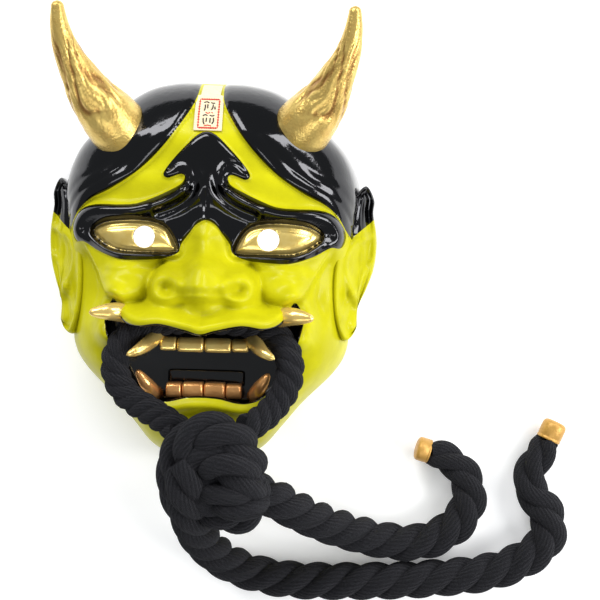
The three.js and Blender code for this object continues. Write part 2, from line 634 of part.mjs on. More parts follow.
function knot() {
  const [sides, bands] = [14, 9];
  const rings = [];
  for (let band = 1; band < bands; band++) {
    const up = (Math.PI * band) / bands;
    const ring = Array.from({ length: sides }, (_, side) => {
      const angle = (2 * Math.PI * side) / sides;
      const lobes = 1 + 0.05 * Math.cos(3 * angle + 4 * up);
      return [
        KNOT_CENTRE[0] + (KNOT_WIDTH / 2) * Math.sin(up) * Math.cos(angle) * lobes,
        KNOT_CENTRE[1] - (KNOT_LENGTH / 2) * Math.cos(up),
        KNOT_CENTRE[2] + (KNOT_THICKNESS / 2) * Math.sin(up) * Math.sin(angle) * lobes,
      ];
    });
    rings.push(ring);
  }
  const pole = (way) => [KNOT_CENTRE[0], KNOT_CENTRE[1] + (way * KNOT_LENGTH) / 2, KNOT_CENTRE[2]];
  let ball = solid(loft(pole(-1), rings, pole(1))).subtract(face.translate([0, 0, CLEARANCE]));
  ball = ball.subtract(solid(ropeAlong(COLLAR_ROUTE, COLLAR_DIAMETER, COLLAR_STEPS, CLEARANCE)));
  ball = ball.subtract(solid(ropeAlong(LONG_TAIL_ROUTE, ROPE_DIAMETER, LONG_TAIL_STEPS, CLEARANCE)));
  return ball.subtract(solid(ropeAlong(SHORT_TAIL_ROUTE, ROPE_DIAMETER, SHORT_TAIL_STEPS, CLEARANCE)));
}

// Materials

function finish(color, roughness, metalness) {
  return new THREE.MeshStandardMaterial({ color, roughness, metalness });
}

const lacquer = finish(0xc8c818, 0.3, 0);
const gold = finish(0xc9a23a, 0.3, 0.9);
const paper = finish(0xe8d9b0, 0.85, 0);
const cotton = finish(0x18181a, 0.95, 0);
const capGold = finish(0xe3a73b, 0.5, 0.4);

// The object

const mask = new THREE.Group();

function place(name, geometry, material) {
  const mesh = new THREE.Mesh(geometry, material);
  mesh.name = name;
  mask.add(mesh);
  return mesh;
}

function placeCap(name, route, reach) {
  const [before, end] = [new THREE.Vector3(...route.at(-2)), new THREE.Vector3(...route.at(-1))];
  const way = end.clone().sub(before).normalize();
  const profile = [[0, 0], [0.94, 0], [1, 0.08], [1, 0.8], [0.86, 0.96], [0, 1]];
  const lathe = profile.map(([r, y]) => new THREE.Vector2((r * CAP_DIAMETER) / 2, y * reach));
  const cap = place(name, new THREE.LatheGeometry(lathe, 12), capGold);
  cap.quaternion.setFromUnitVectors(new THREE.Vector3(0, 1, 0), way);
  cap.position.copy(end).addScaledVector(way, CLEARANCE);
}

place("mask_shell", geometryOf(castShell()), lacquer);
place("horn_right", geometryOf(horn(1)), gold);
place("horn_left", geometryOf(horn(-1)), gold);
place("paper_seal", geometryOf(paperSeal()), paper);
place("rope_collar", ropeAlong(COLLAR_ROUTE, COLLAR_DIAMETER, COLLAR_STEPS), cotton);
place("rope_knot", geometryOf(knot()), cotton);
place("rope_tail_long", ropeAlong(LONG_TAIL_ROUTE, ROPE_DIAMETER, LONG_TAIL_STEPS), cotton);
place("rope_tail_short", ropeAlong(SHORT_TAIL_ROUTE, ROPE_DIAMETER, SHORT_TAIL_STEPS), cotton);
placeCap("rope_cap_long", LONG_TAIL_ROUTE, LONG_CAP_REACH);
placeCap("rope_cap_short", SHORT_TAIL_ROUTE, SHORT_CAP_REACH);

export default mask;
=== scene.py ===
# %% [markdown]
# # A hannya mask with a rope knotted through its mouth
# The real object is a hollow resin casting, lacquered yellow-green and black.
# Its eyes, teeth and horns are painted gold.
# Its solids were measured in CAD, so this lesson starts from that frame and only gives them their looks.
# Drawing is done in millimetres of the mask and turned into metres when a mesh is made.

# %% Load the measured frame
import math

import bpy
import numpy as np
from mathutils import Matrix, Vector


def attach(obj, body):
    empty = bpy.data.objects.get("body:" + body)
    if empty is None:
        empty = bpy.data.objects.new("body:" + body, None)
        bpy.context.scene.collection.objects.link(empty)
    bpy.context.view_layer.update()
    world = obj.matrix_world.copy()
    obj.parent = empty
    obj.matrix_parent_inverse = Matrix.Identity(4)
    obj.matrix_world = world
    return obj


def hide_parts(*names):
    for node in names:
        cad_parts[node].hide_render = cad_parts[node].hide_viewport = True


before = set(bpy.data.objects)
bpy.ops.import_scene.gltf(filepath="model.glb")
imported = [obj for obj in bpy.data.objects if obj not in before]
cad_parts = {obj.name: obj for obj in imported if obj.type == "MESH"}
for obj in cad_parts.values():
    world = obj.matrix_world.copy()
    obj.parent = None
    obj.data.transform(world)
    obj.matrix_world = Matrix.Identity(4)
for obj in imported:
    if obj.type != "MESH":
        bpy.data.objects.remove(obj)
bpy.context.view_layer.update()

MM = 0.001
scene = bpy.context.scene
print("measured nodes:", sorted(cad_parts))

# %% [markdown]
# ## The camera
# The mask lies on its back rim.
# A camera high above it sees what a visitor sees when the mask hangs on a wall.
# A lens of about 60 mm from 0.68 m away gives the same strong perspective as a close product picture.

# %% Place the camera
camera = bpy.data.objects.new("camera", bpy.data.cameras.new("camera"))
camera.data.lens = 59.5
camera.location = (0.0583, -0.031, 0.68)
camera.rotation_euler = (0, 0, 0.028)
scene.collection.objects.link(camera)
scene.camera = camera
print("camera height", camera.location.z)

# %% [markdown]
# ## Helpers for node trees
# Shader trees and Geometry Nodes trees are both made of nodes and links.
# One small function adds a node, sets its options and fills its inputs, either with a value or with a link.

# %% Add a node and fill its inputs
def add(tree, kind, options=None, inputs=None):
    node = tree.nodes.new(kind)
    for key, value in (options or {}).items():
        setattr(node, key, value)
    for key, value in (inputs or {}).items():
        socket = node.inputs[key]
        if isinstance(value, bpy.types.NodeSocket):
            tree.links.new(value, socket)
        else:
            socket.default_value = value
    return node


def math_node(tree, operation, a, b=0.0, c=0.0):
    return add(tree, "ShaderNodeMath", {"operation": operation}, {0: a, 1: b, 2: c}).outputs[0]


def vector_node(tree, operation, a, b=None):
    inputs = {0: a}
    if b is not None:
        inputs["Scale" if operation == "SCALE" else 1] = b
    node = add(tree, "ShaderNodeVectorMath", {"operation": operation}, inputs)
    return node.outputs["Value" if operation in {"DOT_PRODUCT", "LENGTH"} else "Vector"]


def geometry_tree(name, inputs):
    tree = bpy.data.node_groups.new(name, "GeometryNodeTree")
    tree.interface.new_socket("Geometry", in_out="OUTPUT", socket_type="NodeSocketGeometry")
    tree.interface.new_socket("Geometry", in_out="INPUT", socket_type="NodeSocketGeometry")
    for label, kind in inputs:
        tree.interface.new_socket(label, in_out="INPUT", socket_type="NodeSocket" + kind)
    return tree, add(tree, "NodeGroupInput").outputs


def finish_tree(tree, geometry, material):
    real = add(tree, "GeometryNodeRealizeInstances", None, {"Geometry": geometry})
    painted = add(tree, "GeometryNodeSetMaterial", None, {"Geometry": real.outputs[0], "Material": material})
    add(tree, "NodeGroupOutput", None, {"Geometry": painted.outputs[0]})

# %% [markdown]
# ## Helpers for meshes
# A piece is made from plain arrays of points, with its place in the mesh, so every object sits at the origin.
# A tree of Geometry Nodes is run on a line of points, and its result is kept as a plain mesh.

# %% Make a piece from points in millimetres
def piece(name, points, faces, slot, materials, numbers=None, edges=()):
    mesh = bpy.data.meshes.new(name)
    places = (np.asarray(points, float) * MM).tolist()
    mesh.from_pydata(places, list(edges), [list(map(int, face)) for face in faces])
    for key, values in (numbers or {}).items():
        layer = mesh.attributes.new(key, "FLOAT", "POINT")
        layer.data.foreach_set("value", np.asarray(values, np.float32))
    for material in materials:
        mesh.materials.append(material)
    mesh.polygons.foreach_set("use_smooth", [True] * len(mesh.polygons))
    mesh.update()
    obj = bpy.data.objects.new(name, mesh)
    scene.collection.objects.link(obj)
    if slot:
        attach(obj, "root")
    return obj


def circle_turns(count):
    return np.linspace(0, 2 * math.pi, count, endpoint=False)


def mirror_image(points, faces):
    return points * (-1, 1, 1), [face[::-1] for face in faces]


def rings_between(rings, close=True):
    count = len(rings[0])
    faces = []
    for r in range(len(rings) - 1):
        for i in range(count):
            j = (i + 1) % count
            faces.append((r * count + i, r * count + j, (r + 1) * count + j, (r + 1) * count + i))
    if close:
        faces += [tuple(range(count))[::-1], tuple((len(rings) - 1) * count + i for i in range(count))]
    return faces


def run_tree(name, line, edges, tree, values):
    start = piece("line_of_" + name, line, [], None, [], edges=edges)
    modifier = start.modifiers.new("build", "NODES")
    modifier.node_group = tree
    for item in tree.interface.items_tree:
        if item.in_out == "INPUT" and item.name in values:
            modifier[item.identifier] = values[item.name]
    seen = start.evaluated_get(bpy.context.evaluated_depsgraph_get())
    mesh = bpy.data.meshes.new_from_object(seen)
    mesh.name = name
    bpy.data.objects.remove(start)
    obj = bpy.data.objects.new(name, mesh)
    scene.collection.objects.link(obj)
    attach(obj, "root")
    print(name, len(mesh.polygons), "faces")
    return obj

# %% [markdown]
# ## Black cotton
# The rope is dyed cotton, soft and matte, and its yarns lie across each strand at a slant.
# The rope's tree stores how far a point lies along its strand and around it.
# The yarns are stripes over these two numbers, so they follow the twist.
# A bump is enough for yarns that are under a millimetre thick.

# %% Start a material
def material(name, **settings):
    made = bpy.data.materials.new(name)
    made.use_nodes = True
    made.node_tree.nodes.clear()
    shader = add(made.node_tree, "ShaderNodeBsdfPrincipled", None, {
        key.replace("_", " "): value for key, value in settings.items()
    })
    add(made.node_tree, "ShaderNodeOutputMaterial", None, {"Surface": shader.outputs[0]})
    return made, made.node_tree, shader


def attribute(tree, name):
    return add(tree, "ShaderNodeAttribute", {"attribute_name": name}).outputs["Fac"]


def object_place(tree):
    return add(tree, "ShaderNodeTexCoord").outputs["Object"]


def noise(tree, place, scale, detail=3.0, roughness=0.55):
    inputs = {"Vector": place, "Scale": scale, "Detail": detail, "Roughness": roughness}
    return add(tree, "ShaderNodeTexNoise", None, inputs).outputs["Fac"]


def blend_colours(tree, share, low, high):
    mix = add(tree, "ShaderNodeMix", {"data_type": "RGBA"}, {"Factor": share})
    for socket, value in ((mix.inputs[6], low), (mix.inputs[7], high)):
        if isinstance(value, bpy.types.NodeSocket):
            tree.links.new(value, socket)
        else:
            socket.default_value = (*value, 1)
    return mix.outputs[2]


def blend_numbers(tree, share, low, high):
    return add(tree, "ShaderNodeMix", None, {"Factor": share, "A": low, "B": high}).outputs[0]


def ramp(tree, value, low, high, start=0.0):
    inputs = {"Value": value, "From Min": low, "From Max": high, "To Min": start}
    return add(tree, "ShaderNodeMapRange", {"interpolation_type": "SMOOTHSTEP"}, inputs).outputs[0]


def bumped(tree, shader, height, distance):
    inputs = {"Height": height, "Distance": distance, "Strength": 1.0}
    bump = add(tree, "ShaderNodeBump", None, inputs)
    tree.links.new(bump.outputs[0], shader.inputs["Normal"])


def paint(tree, shader, **sockets):
    for label, socket in sockets.items():
        tree.links.new(socket, shader.inputs[label.replace("_", " ")])


def grained(name, low, high, scale, detail, ripple, **settings):
    made, tree, shader = material(name, **settings)
    grain = noise(tree, object_place(tree), scale, detail)
    paint(tree, shader, Base_Color=blend_colours(tree, grain, low, high))
    bumped(tree, shader, grain, ripple)
    return made

# %% Dye the cotton
YARN_TURNS = 16.0  # yarns around a strand
YARN_TRAVEL = -270.0  # yarns for each metre along it
YARN_HEIGHT = 0.3
FLUFF_HEIGHT = 2.0
COTTON_BLACK = (0.0035, 0.0035, 0.0045)
FLUFF_GREY = (0.028, 0.028, 0.033)


def cotton_material():
    made, tree, shader = material("black_cotton", Roughness=1.0, Sheen_Weight=0.12, Sheen_Roughness=0.6)
    shader.inputs["Specular IOR Level"].default_value = 0.1
    shader.inputs["Sheen Tint"].default_value = (0.5, 0.5, 0.55, 1)
    turns = math_node(tree, "MULTIPLY", attribute(tree, "around"), YARN_TURNS)
    travel = math_node(tree, "MULTIPLY", attribute(tree, "run"), YARN_TRAVEL)
    phase = math_node(tree, "MULTIPLY", math_node(tree, "ADD", turns, travel), 2 * math.pi)
    place = object_place(tree)
    wander = math_node(tree, "MULTIPLY", noise(tree, place, 350), 2.4)
    yarn = math_node(tree, "SINE", math_node(tree, "ADD", phase, wander))
    fluff = noise(tree, place, 1500, 4, 0.7)
    tuft = math_node(tree, "MULTIPLY", fluff, FLUFF_HEIGHT)
    height = math_node(tree, "MULTIPLY_ADD", yarn, YARN_HEIGHT, tuft)
    bumped(tree, shader, height, 0.0011)
    share = math_node(tree, "MULTIPLY", ramp(tree, fluff, 0.35, 0.75), ramp(tree, yarn, -2.5, 1))
    paint(tree, shader, Base_Color=blend_colours(tree, share, COTTON_BLACK, FLUFF_GREY))
    return made


cotton = cotton_material()
print("made", cotton.name)

# %% [markdown]
# ## Twisting a rope
# A three-strand rope is one strand repeated three times around a line, each a third of a turn on.
# Geometry Nodes follow any line with that rule.
# The line is resampled, and three copies of it move out from its axis.
# Each copy then sweeps a round profile, so one tree makes the collar, both tails and the wraps of the knot.
# Near its end a strand may be drawn in, and its last quarter diameter is rounded off.

# %% The rope's tree
STRANDS = 3
STRAND_SIDES = 16
STRAND_RADIUS = 0.26  # in diameters of the rope, as are the next two
STRAND_OFFSET = 0.24
END_REACHES = (2.4, 0.25)  # where the end's drawing in and its rounding begin


def rope_tree():
    tree, given = geometry_tree("twisted_rope", [
        ("Diameter", "Float"), ("Lay Length", "Float"), ("Step", "Float"), ("Start Angle", "Float"),
        ("End Share", "Float"), ("Material", "Material"),
    ])
    curve = add(tree, "GeometryNodeMeshToCurve", None, {"Mesh": given["Geometry"]}).outputs[0]
    spacing = {"Curve": curve, "Length": given["Step"]}
    curve = add(tree, "GeometryNodeResampleCurve", {"mode": "LENGTH"}, spacing)
    normal = add(tree, "GeometryNodeInputNormal").outputs[0]
    tangent = add(tree, "GeometryNodeInputTangent").outputs[0]
    run = add(tree, "GeometryNodeSplineParameter").outputs["Length"]
    left = math_node(tree, "SUBTRACT", add(tree, "GeometryNodeSplineLength").outputs["Length"], run)
    drawn_in, rounding = (
        ramp(tree, left, 0.0, math_node(tree, "MULTIPLY", given["Diameter"], reach), given["End Share"])
        for reach in END_REACHES
    )
    share = math_node(tree, "MULTIPLY", drawn_in, rounding)
    line = curve.outputs[0]
    for key, kind, value in (
        ("side", "FLOAT_VECTOR", normal), ("way", "FLOAT_VECTOR", tangent), ("run", "FLOAT", run),
        ("share", "FLOAT", share),
    ):
        options = {"data_type": kind, "domain": "POINT"}
        line = add(tree, "GeometryNodeStoreNamedAttribute", options, {
            "Geometry": line, "Name": key, "Value": value,
        }).outputs[0]
    copies = add(tree, "GeometryNodeDuplicateElements", {"domain": "SPLINE"}, {
        "Geometry": line, "Amount": STRANDS,
    })

    def named(key, kind):
        return add(tree, "GeometryNodeInputNamedAttribute", {"data_type": kind}, {"Name": key}).outputs[0]

    side, way = named("side", "FLOAT_VECTOR"), named("way", "FLOAT_VECTOR")
    turn = math_node(tree, "DIVIDE", named("run", "FLOAT"), given["Lay Length"])
    third = math_node(tree, "DIVIDE", copies.outputs["Duplicate Index"], float(STRANDS))
    turned = math_node(tree, "ADD", turn, third)
    angle = math_node(tree, "MULTIPLY_ADD", turned, -2 * math.pi, given["Start Angle"])
    across = vector_node(tree, "CROSS_PRODUCT", way, side)
    out = vector_node(
        tree, "ADD",
        vector_node(tree, "SCALE", side, math_node(tree, "COSINE", angle)),
        vector_node(tree, "SCALE", across, math_node(tree, "SINE", angle)),
    )
    share = named("share", "FLOAT")
    reach = math_node(tree, "MULTIPLY", math_node(tree, "MULTIPLY", given["Diameter"], STRAND_OFFSET), share)
    moved = add(tree, "GeometryNodeSetPosition", None, {
        "Geometry": copies.outputs["Geometry"], "Offset": vector_node(tree, "SCALE", out, reach),
    })
    radius = math_node(tree, "MULTIPLY", given["Diameter"], STRAND_RADIUS)
    inputs = {"Resolution": STRAND_SIDES, "Radius": radius}
    circle = add(tree, "GeometryNodeCurvePrimitiveCircle", None, inputs)
    factor = add(tree, "GeometryNodeSplineParameter").outputs["Factor"]
    profile = add(tree, "GeometryNodeStoreNamedAttribute", {"data_type": "FLOAT", "domain": "POINT"}, {
        "Geometry": circle.outputs[0], "Name": "around", "Value": factor,
    })
    swept = add(tree, "GeometryNodeCurveToMesh", None, {
        "Curve": moved.outputs[0], "Profile Curve": profile.outputs[0], "Scale": share, "Fill Caps": True,
    })
    smooth = add(tree, "GeometryNodeSetShadeSmooth", None, {"Geometry": swept.outputs[0]})
    finish_tree(tree, smooth.outputs[0], given["Material"])
    return tree


twisted_rope = rope_tree()
ROPE_DIAMETER = 25
COLLAR_DIAMETER = 18
LAY_TURNS = 2.3  # diameters for a full turn of the strands
TIGHT_LAY = 1.45  # the same where the rope is drawn in
TAIL_END = 0.82  # how far the tails are drawn in at their caps
ROPE_STEP = 1.6


def smooth_line(points, closed=False, steps=6):
    points = np.asarray(points, float)
    count = len(points)
    curve = []
    for i in range(count if closed else count - 1):
        ring = [(i + k) % count if closed else min(count - 1, max(0, i + k)) for k in (-1, 0, 1, 2)]
        p0, p1, p2, p3 = points[ring]
        for j in range(steps):
            t = j / steps
            bend = 2 * p0 - 5 * p1 + 4 * p2 - p3 + t * (3 * (p1 - p2) + p3 - p0)
            curve.append(p1 + 0.5 * t * (p2 - p0 + t * bend))
    return np.array(curve if closed else curve + [points[-1]])


def rope(name, route, start_angle=0.0, diameter=ROPE_DIAMETER, lay=LAY_TURNS, end_share=1.0):
    line = smooth_line(route, steps=10)
    edges = [(i, i + 1) for i in range(len(line) - 1)]
    values = {
        "Diameter": diameter * MM, "Lay Length": lay * diameter * MM, "Step": ROPE_STEP * MM,
        "Start Angle": start_angle, "End Share": end_share, "Material": cotton,
    }
    return run_tree(name, line, edges, twisted_rope, values), line


def line_length(line):
    return float(np.linalg.norm(np.diff(line, axis=0), axis=1).sum())

# %% [markdown]
# ## The rope's route
# The rope runs out of the knot, through the mouth behind the upper teeth and back into the knot.
# Two tails then fall to the ground and lie there in loose bends, each in a gold end cap.
# These points are the measured ones, so each stretch lies where its solid lies.

# %% The rope's three stretches
COLLAR_ROUTE = [
    (-12, -110, 90), (-21, -105, 86), (-33, -99, 80.5), (-43.5, -93, 77.5), (-50.5, -84, 77),
    (-53, -74.5, 77), (-52, -65.5, 76), (-48, -57.5, 73), (-41, -51.5, 70.5), (-32, -47.6, 69.5),
    (-16, -45.5, 69.5), (0, -45, 69.5), (16, -45.5, 69.5), (32, -47.6, 69.5), (41, -51.5, 70.5),
    (48, -57.5, 73), (52.5, -66, 76), (53.5, -76, 77), (51, -86, 77), (45, -95.5, 78),
    (37, -103.5, 82), (28, -109, 87),
]
LONG_TAIL_ROUTE = [
    (-6.5, -128, 97), (-6, -139, 96), (-6, -152.5, 86), (-5, -167.5, 70), (-2, -181.5, 52), (5, -195, 35),
    (15.5, -206.5, 21), (30.5, -214.5, 13.5), (50, -218.5, 12.8), (71.5, -219.5, 12.8), (97, -219, 12.8),
    (131, -217.5, 12.8), (157.5, -215, 12.8), (179, -212.5, 12.8), (194.5, -209, 12.8),
    (205, -205.5, 12.8), (215, -200, 12.8), (223.5, -194, 12.8), (229, -186, 12.8), (230, -177, 12.8),
    (227, -167.5, 12.8), (220.5, -159, 12.8), (216, -151.5, 12.8), (216, -144.5, 12.8), (219, -136, 12.8),
    (224, -128.5, 12.8), (227.5, -120.5, 12.8),
]
SHORT_TAIL_ROUTE = [
    (25, -146.5, 79), (39.5, -150.5, 72), (52, -158.5, 62), (64.5, -167, 50), (79, -175.5, 37),
    (95.5, -183, 25), (112.5, -189, 16), (130, -192, 12.8), (145, -191, 12.8), (159, -185.5, 12.8),
    (169.5, -176.5, 12.8), (175, -165.5, 12.8), (175.5, -154, 12.8), (171.5, -144, 12.8),
    (164.5, -137.5, 12.8), (157.5, -133, 12.8), (148.5, -130.5, 12.8),
]
collar, collar_line = rope("collar", COLLAR_ROUTE, 0.4, COLLAR_DIAMETER, TIGHT_LAY)
long_tail, long_line = rope("long_tail", LONG_TAIL_ROUTE, 1.0, end_share=TAIL_END)
short_tail, short_line = rope("short_tail", SHORT_TAIL_ROUTE, 2.2, end_share=TAIL_END)
for label, line in (("collar", collar_line), ("long tail", long_line), ("short tail", short_line)):
    print(label, "is", round(line_length(line)), "mm long")

# %% [markdown]
# ## The knot
# The tails leave a fist-sized overhand knot whose turns lie over each other in three slanted bands.
# Each turn is a rope of its own here, laid over an oval core through given points.
# All of them are joined into one piece.
# A plain dark core fills the hollow between the turns, as the rope's own inner turns do.

# %% Lay the turns of the knot
KNOT_CENTRE = np.array((9, -135, 84))
KNOT_CORE = (24, 28, 17)  # its reach across, along and in height
CORE_SIDES = 32
CORE_LEVELS = 20
KNOT_TURNS = [
    [(-8, -162, 66), (-12.5, -152.5, 70), (-13.5, -139.5, 80), (-11.3, -127, 90), (-6, -117, 97),
     (3, -110.5, 101), (13.5, -110, 102), (23, -115.5, 99), (28.5, -125, 92), (30.5, -137.5, 84),
     (27.5, -149, 76)],
    [(-1, -133, 90), (4, -126.5, 98), (11.5, -124.5, 102), (20.5, -127.5, 102), (27.5, -136, 96),
     (30, -146.5, 86)],
    [(30.5, -141, 84), (32, -152.5, 81), (26.5, -160.5, 80), (17.5, -162, 79), (9, -157, 78), (5, -147, 79)],
    [(5, -137, 84), (12, -144.5, 92), (20.5, -149, 96), (28.5, -151.5, 91), (32, -154.5, 82)],
]


def knot_core():
    turns = circle_turns(CORE_SIDES)
    across, along, high = KNOT_CORE
    rings = []
    for level in np.linspace(0.04, math.pi - 0.04, CORE_LEVELS):
        x = across * math.sin(level) * np.cos(turns)
        z = high * math.sin(level) * np.sin(turns)
        y = np.full(CORE_SIDES, -along * math.cos(level))
        rings.append(KNOT_CENTRE + np.stack([x, y, z], 1))
    return piece("knot_core", np.concatenate(rings), rings_between(rings), "black_cotton", [cotton])


def join_pieces(name, parts):
    first = parts[0]
    with bpy.context.temp_override(active_object=first, selected_editable_objects=parts):
        bpy.ops.object.join()
    first.name = first.data.name = name
    return first


knot_turns = [rope(f"turn_{i}", turn, 0.9 * i)[0] for i, turn in enumerate(KNOT_TURNS)]
knot = join_pieces("knot", [*knot_turns, knot_core()])
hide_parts("rope_knot")

# %% [markdown]
# ## The end caps
# Each tail ends in a short moulded cap with a matte gold finish and a rounded end.
# The measured caps are right in size, so a finer turned form takes their place at the same spots.

# %% Turn the caps
CAP_COLOURS = ((0.47, 0.25, 0.05), (0.6, 0.34, 0.08))
CAP_SIDES = 48
CAP_GAP = 0.3
CAP_DIAMETER = 16
LONG_CAP_REACH = 13.5
SHORT_CAP_REACH = 9.5
CAP_PROFILE = [
    (0.0, 0.86), (0.01, 0.97), (0.05, 1.0), (0.12, 1.0), (0.14, 0.97), (0.17, 0.97), (0.19, 1.0), (0.7, 1.0),
    (0.8, 0.985), (0.88, 0.93), (0.94, 0.83), (0.98, 0.68), (0.997, 0.42), (1.0, 0.15),
]


def cap(name, node, route, reach):
    before, end = np.array(route[-2], float), np.array(route[-1], float)
    way = (end - before) / np.linalg.norm(end - before)
    side = np.array((-way[1], way[0], 0))
    up = np.cross(way, side)
    turns = circle_turns(CAP_SIDES)
    around = np.outer(np.cos(turns), side) + np.outer(np.sin(turns), up)
    rings = [
        end + way * (CAP_GAP + along * reach) + share * CAP_DIAMETER / 2 * around
        for along, share in CAP_PROFILE
    ]
    made = piece(name, np.concatenate(rings), rings_between(rings), "cap_gold", [cap_gold])
    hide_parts(node)
    return made


cap_gold = grained("cap_gold", *CAP_COLOURS, 900, 2, 0.0002, Metallic=0.35, Roughness=0.42)
long_cap = cap("long_cap", "rope_cap_long", LONG_TAIL_ROUTE, LONG_CAP_REACH)
short_cap = cap("short_cap", "rope_cap_short", SHORT_TAIL_ROUTE, SHORT_CAP_REACH)

for obj, node, line, diameter, companions in (
    (collar, "rope_collar", collar_line, COLLAR_DIAMETER, [knot]),
    (long_tail, "rope_tail_long", long_line, ROPE_DIAMETER, [long_cap]),
    (short_tail, "rope_tail_short", short_line, ROPE_DIAMETER, [short_cap]),
):
    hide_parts(node)

# %% [markdown]
# ## The carving as numbers
# A carved face is easiest to keep as one height for each place on it, so creases and bulges simply add up.
# The outlines below are the carver's drawing of the right half, in millimetres, and the left half mirrors it.

# %% Small shapes of numbers
def rise(low, high, t):
    k = np.clip((t - low) / (high - low), 0, 1)
    return k * k * (3 - 2 * k)


def bell(distance, reach):
    return np.exp(-((distance / reach) ** 2))


def mound(x, y, centre, reach):
    return np.exp(-(((x - centre[0]) / reach[0]) ** 2) - ((y - centre[1]) / reach[1]) ** 2)


def plateau(x, y, centre, reach):
    return np.exp(-((((x - centre[0]) / reach[0]) ** 2 + ((y - centre[1]) / reach[1]) ** 2) ** 2))


def rounded(depth, reach):
    """A pillow edge: 0 at the border and 1 from the reach inwards."""
    return np.sqrt(1 - (1 - np.clip(depth / reach, 0, 1)) ** 2)


def tabled(table, t):
    keys, values = np.array(table, float).T
    after = np.clip(np.searchsorted(keys, t, side="right"), 1, len(keys) - 1)
    part = rise(0, 1, (t - keys[after - 1]) / (keys[after] - keys[after - 1]))
    return values[after - 1] + (values[after] - values[after - 1]) * part


def mirrored(half):
    half = [tuple(point) for point in half]
    return half + [(-x, y) for x, y in half[1:-1][::-1]]


def nearest(curve, x, y):
    """An open line's distance, share of the way, side, nearest point and direction, for many places."""
    best = np.full(x.shape, np.inf)
    share, side = np.zeros(x.shape), np.ones(x.shape)
    foot, way = np.zeros((2, *x.shape)), np.zeros((2, *x.shape))
    for i in range(len(curve) - 1):
        (ax, ay), (bx, by) = curve[i], curve[i + 1]
        dx, dy = bx - ax, by - ay
        length = max(dx * dx + dy * dy, 1e-12)
        t = np.clip(((x - ax) * dx + (y - ay) * dy) / length, 0, 1)
        distance = np.hypot(x - ax - t * dx, y - ay - t * dy)
        closer = distance < best
        best = np.where(closer, distance, best)
        share = np.where(closer, (i + t) / (len(curve) - 1), share)
        side = np.where(closer, np.where(dx * (y - ay) - dy * (x - ax) >= 0, 1.0, -1.0), side)
        foot = np.where(closer, (ax + t * dx, ay + t * dy), foot)
        way = np.where(closer, np.array((dx, dy)).reshape(2, *[1] * x.ndim) / math.sqrt(length), way)
    return best, share, side, foot, way


def inside(outline, x, y):
    """Signed distance to a closed outline, positive inside, with the nearest point."""
    loop = np.concatenate([outline, outline[:1]])
    odd = np.zeros(x.shape, bool)
    for (ax, ay), (bx, by) in zip(loop[:-1], loop[1:]):
        if ay != by:
            odd ^= ((ay > y) != (by > y)) & (x < ax + (y - ay) * (bx - ax) / (by - ay))
    distance, _, _, foot, way = nearest(loop, x, y)
    return np.where(odd, distance, -distance), foot, way

# %% The drawing of the face
HUB = (0, -25)
OUTLINE = [
    (0, 110.6), (26, 110), (49, 102), (78, 77.5), (91, 61), (97.5, 40), (96, 12), (92.5, -15), (91.3, -40),
    (91.2, -62), (83, -78.5), (62.5, -99.5), (48.5, -116.5), (35.5, -131), (18, -138), (0, -138.2),
]
CROWN_HEIGHTS = [(-138, 70), (-100, 72), (-60, 72), (-20, 73), (15, 75), (44, 83), (70, 91), (108, 94)]
HAIRLINE = [
    (8, 114), (8.3, 91), (15.8, 74), (26.8, 58.8), (42, 44.3), (58, 33.9), (72.3, 27.4), (80.5, 21),
    (87, 12), (98, 2),
]
BROW_PATCH = [
    (0, 68.6), (14.2, 58), (25.6, 44.6), (23.6, 40.4), (15.8, 42.8), (12.9, 41.3), (15, 36.5), (22.3, 32.7),
    (32, 28.4), (42.5, 24.6), (54, 23.8), (66.4, 24), (75, 22.7), (80.8, 19), (85.7, 11.7), (85.4, 5.5),
    (82.3, 1.8), (76, 1.4), (66.5, -4), (53, -9), (40.6, -9.4), (25, -7.8), (16.8, -4), (14.6, 1.7),
    (9.6, 8.3), (5.9, 12.9), (0, 15.7),
]
BROW_ROLL = [(11, 38), (16, 31), (28, 24.5), (45, 20.5), (65, 20), (77, 16.5), (82, 9), (78, 3.5)]
BROW_STRAND = [(5.5, 47), (5, 40), (7.5, 32.5), (13, 27), (21, 22.5), (29, 19.5)]
BROW_BARB = [(23, 45.5), (18.5, 49.5), (13.5, 50.5), (9.5, 47.5), (8, 42), (10, 36)]
EYE = [
    (70.5, 8), (63.5, 13), (51.5, 14.7), (40, 14.9), (30.5, 13.5), (23.4, 9.2), (17.9, -1.6), (21.5, -3.8),
    (30, -4), (42, -3.9), (54, -3), (63.5, 1),
]
SIGHT_CENTRE = (38, 5)
SIGHT_RADIUS = 7
NOSE_RIDGE = [(-44, 0), (-36, 6), (-30, 13), (-24, 17), (-15, 16), (-5, 11), (5, 7), (15, 3), (24, 0)]
NOSE_FOLD = [(27, -10), (31, -15.5), (33.6, -21.5), (34.6, -28), (36.5, -32.5), (42, -35), (51, -35.7)]
CHEEK_EDGE = [(79, 3), (73, -8), (67, -19), (63.5, -26), (58, -31.5), (50, -35)]
CHEEK_CREASE = [(61, -16.5), (53, -16.6), (42, -15), (31, -13.6)]
LIP_FOLD = [(36, -35.5), (30, -35.2), (20, -38.5), (9, -43), (0, -45.7)]
JAW_LINE = [(81, -6), (79, -25), (75, -50), (66, -76), (50, -100)]
MOUTH = [
    (0, -53.2), (9, -50.8), (24, -47.7), (36, -49), (43.5, -47.6), (48.5, -44), (52, -38), (55, -33.6),
    (57.5, -35.5), (60, -41), (60.3, -46.5), (56.8, -59), (51.5, -71), (45, -83), (36, -92.5), (28, -95.6),
    (20, -95.3), (10.5, -93), (0, -92.3),
]
POCKET = [
    (0, -31), (24, -31), (40, -31.5), (52, -32), (57.5, -33), (61.5, -38), (62.5, -47), (58.8, -60),
    (53, -72), (46.5, -84), (37, -94), (28, -97.2), (20, -96.9), (10.5, -94.6), (0, -94),
]
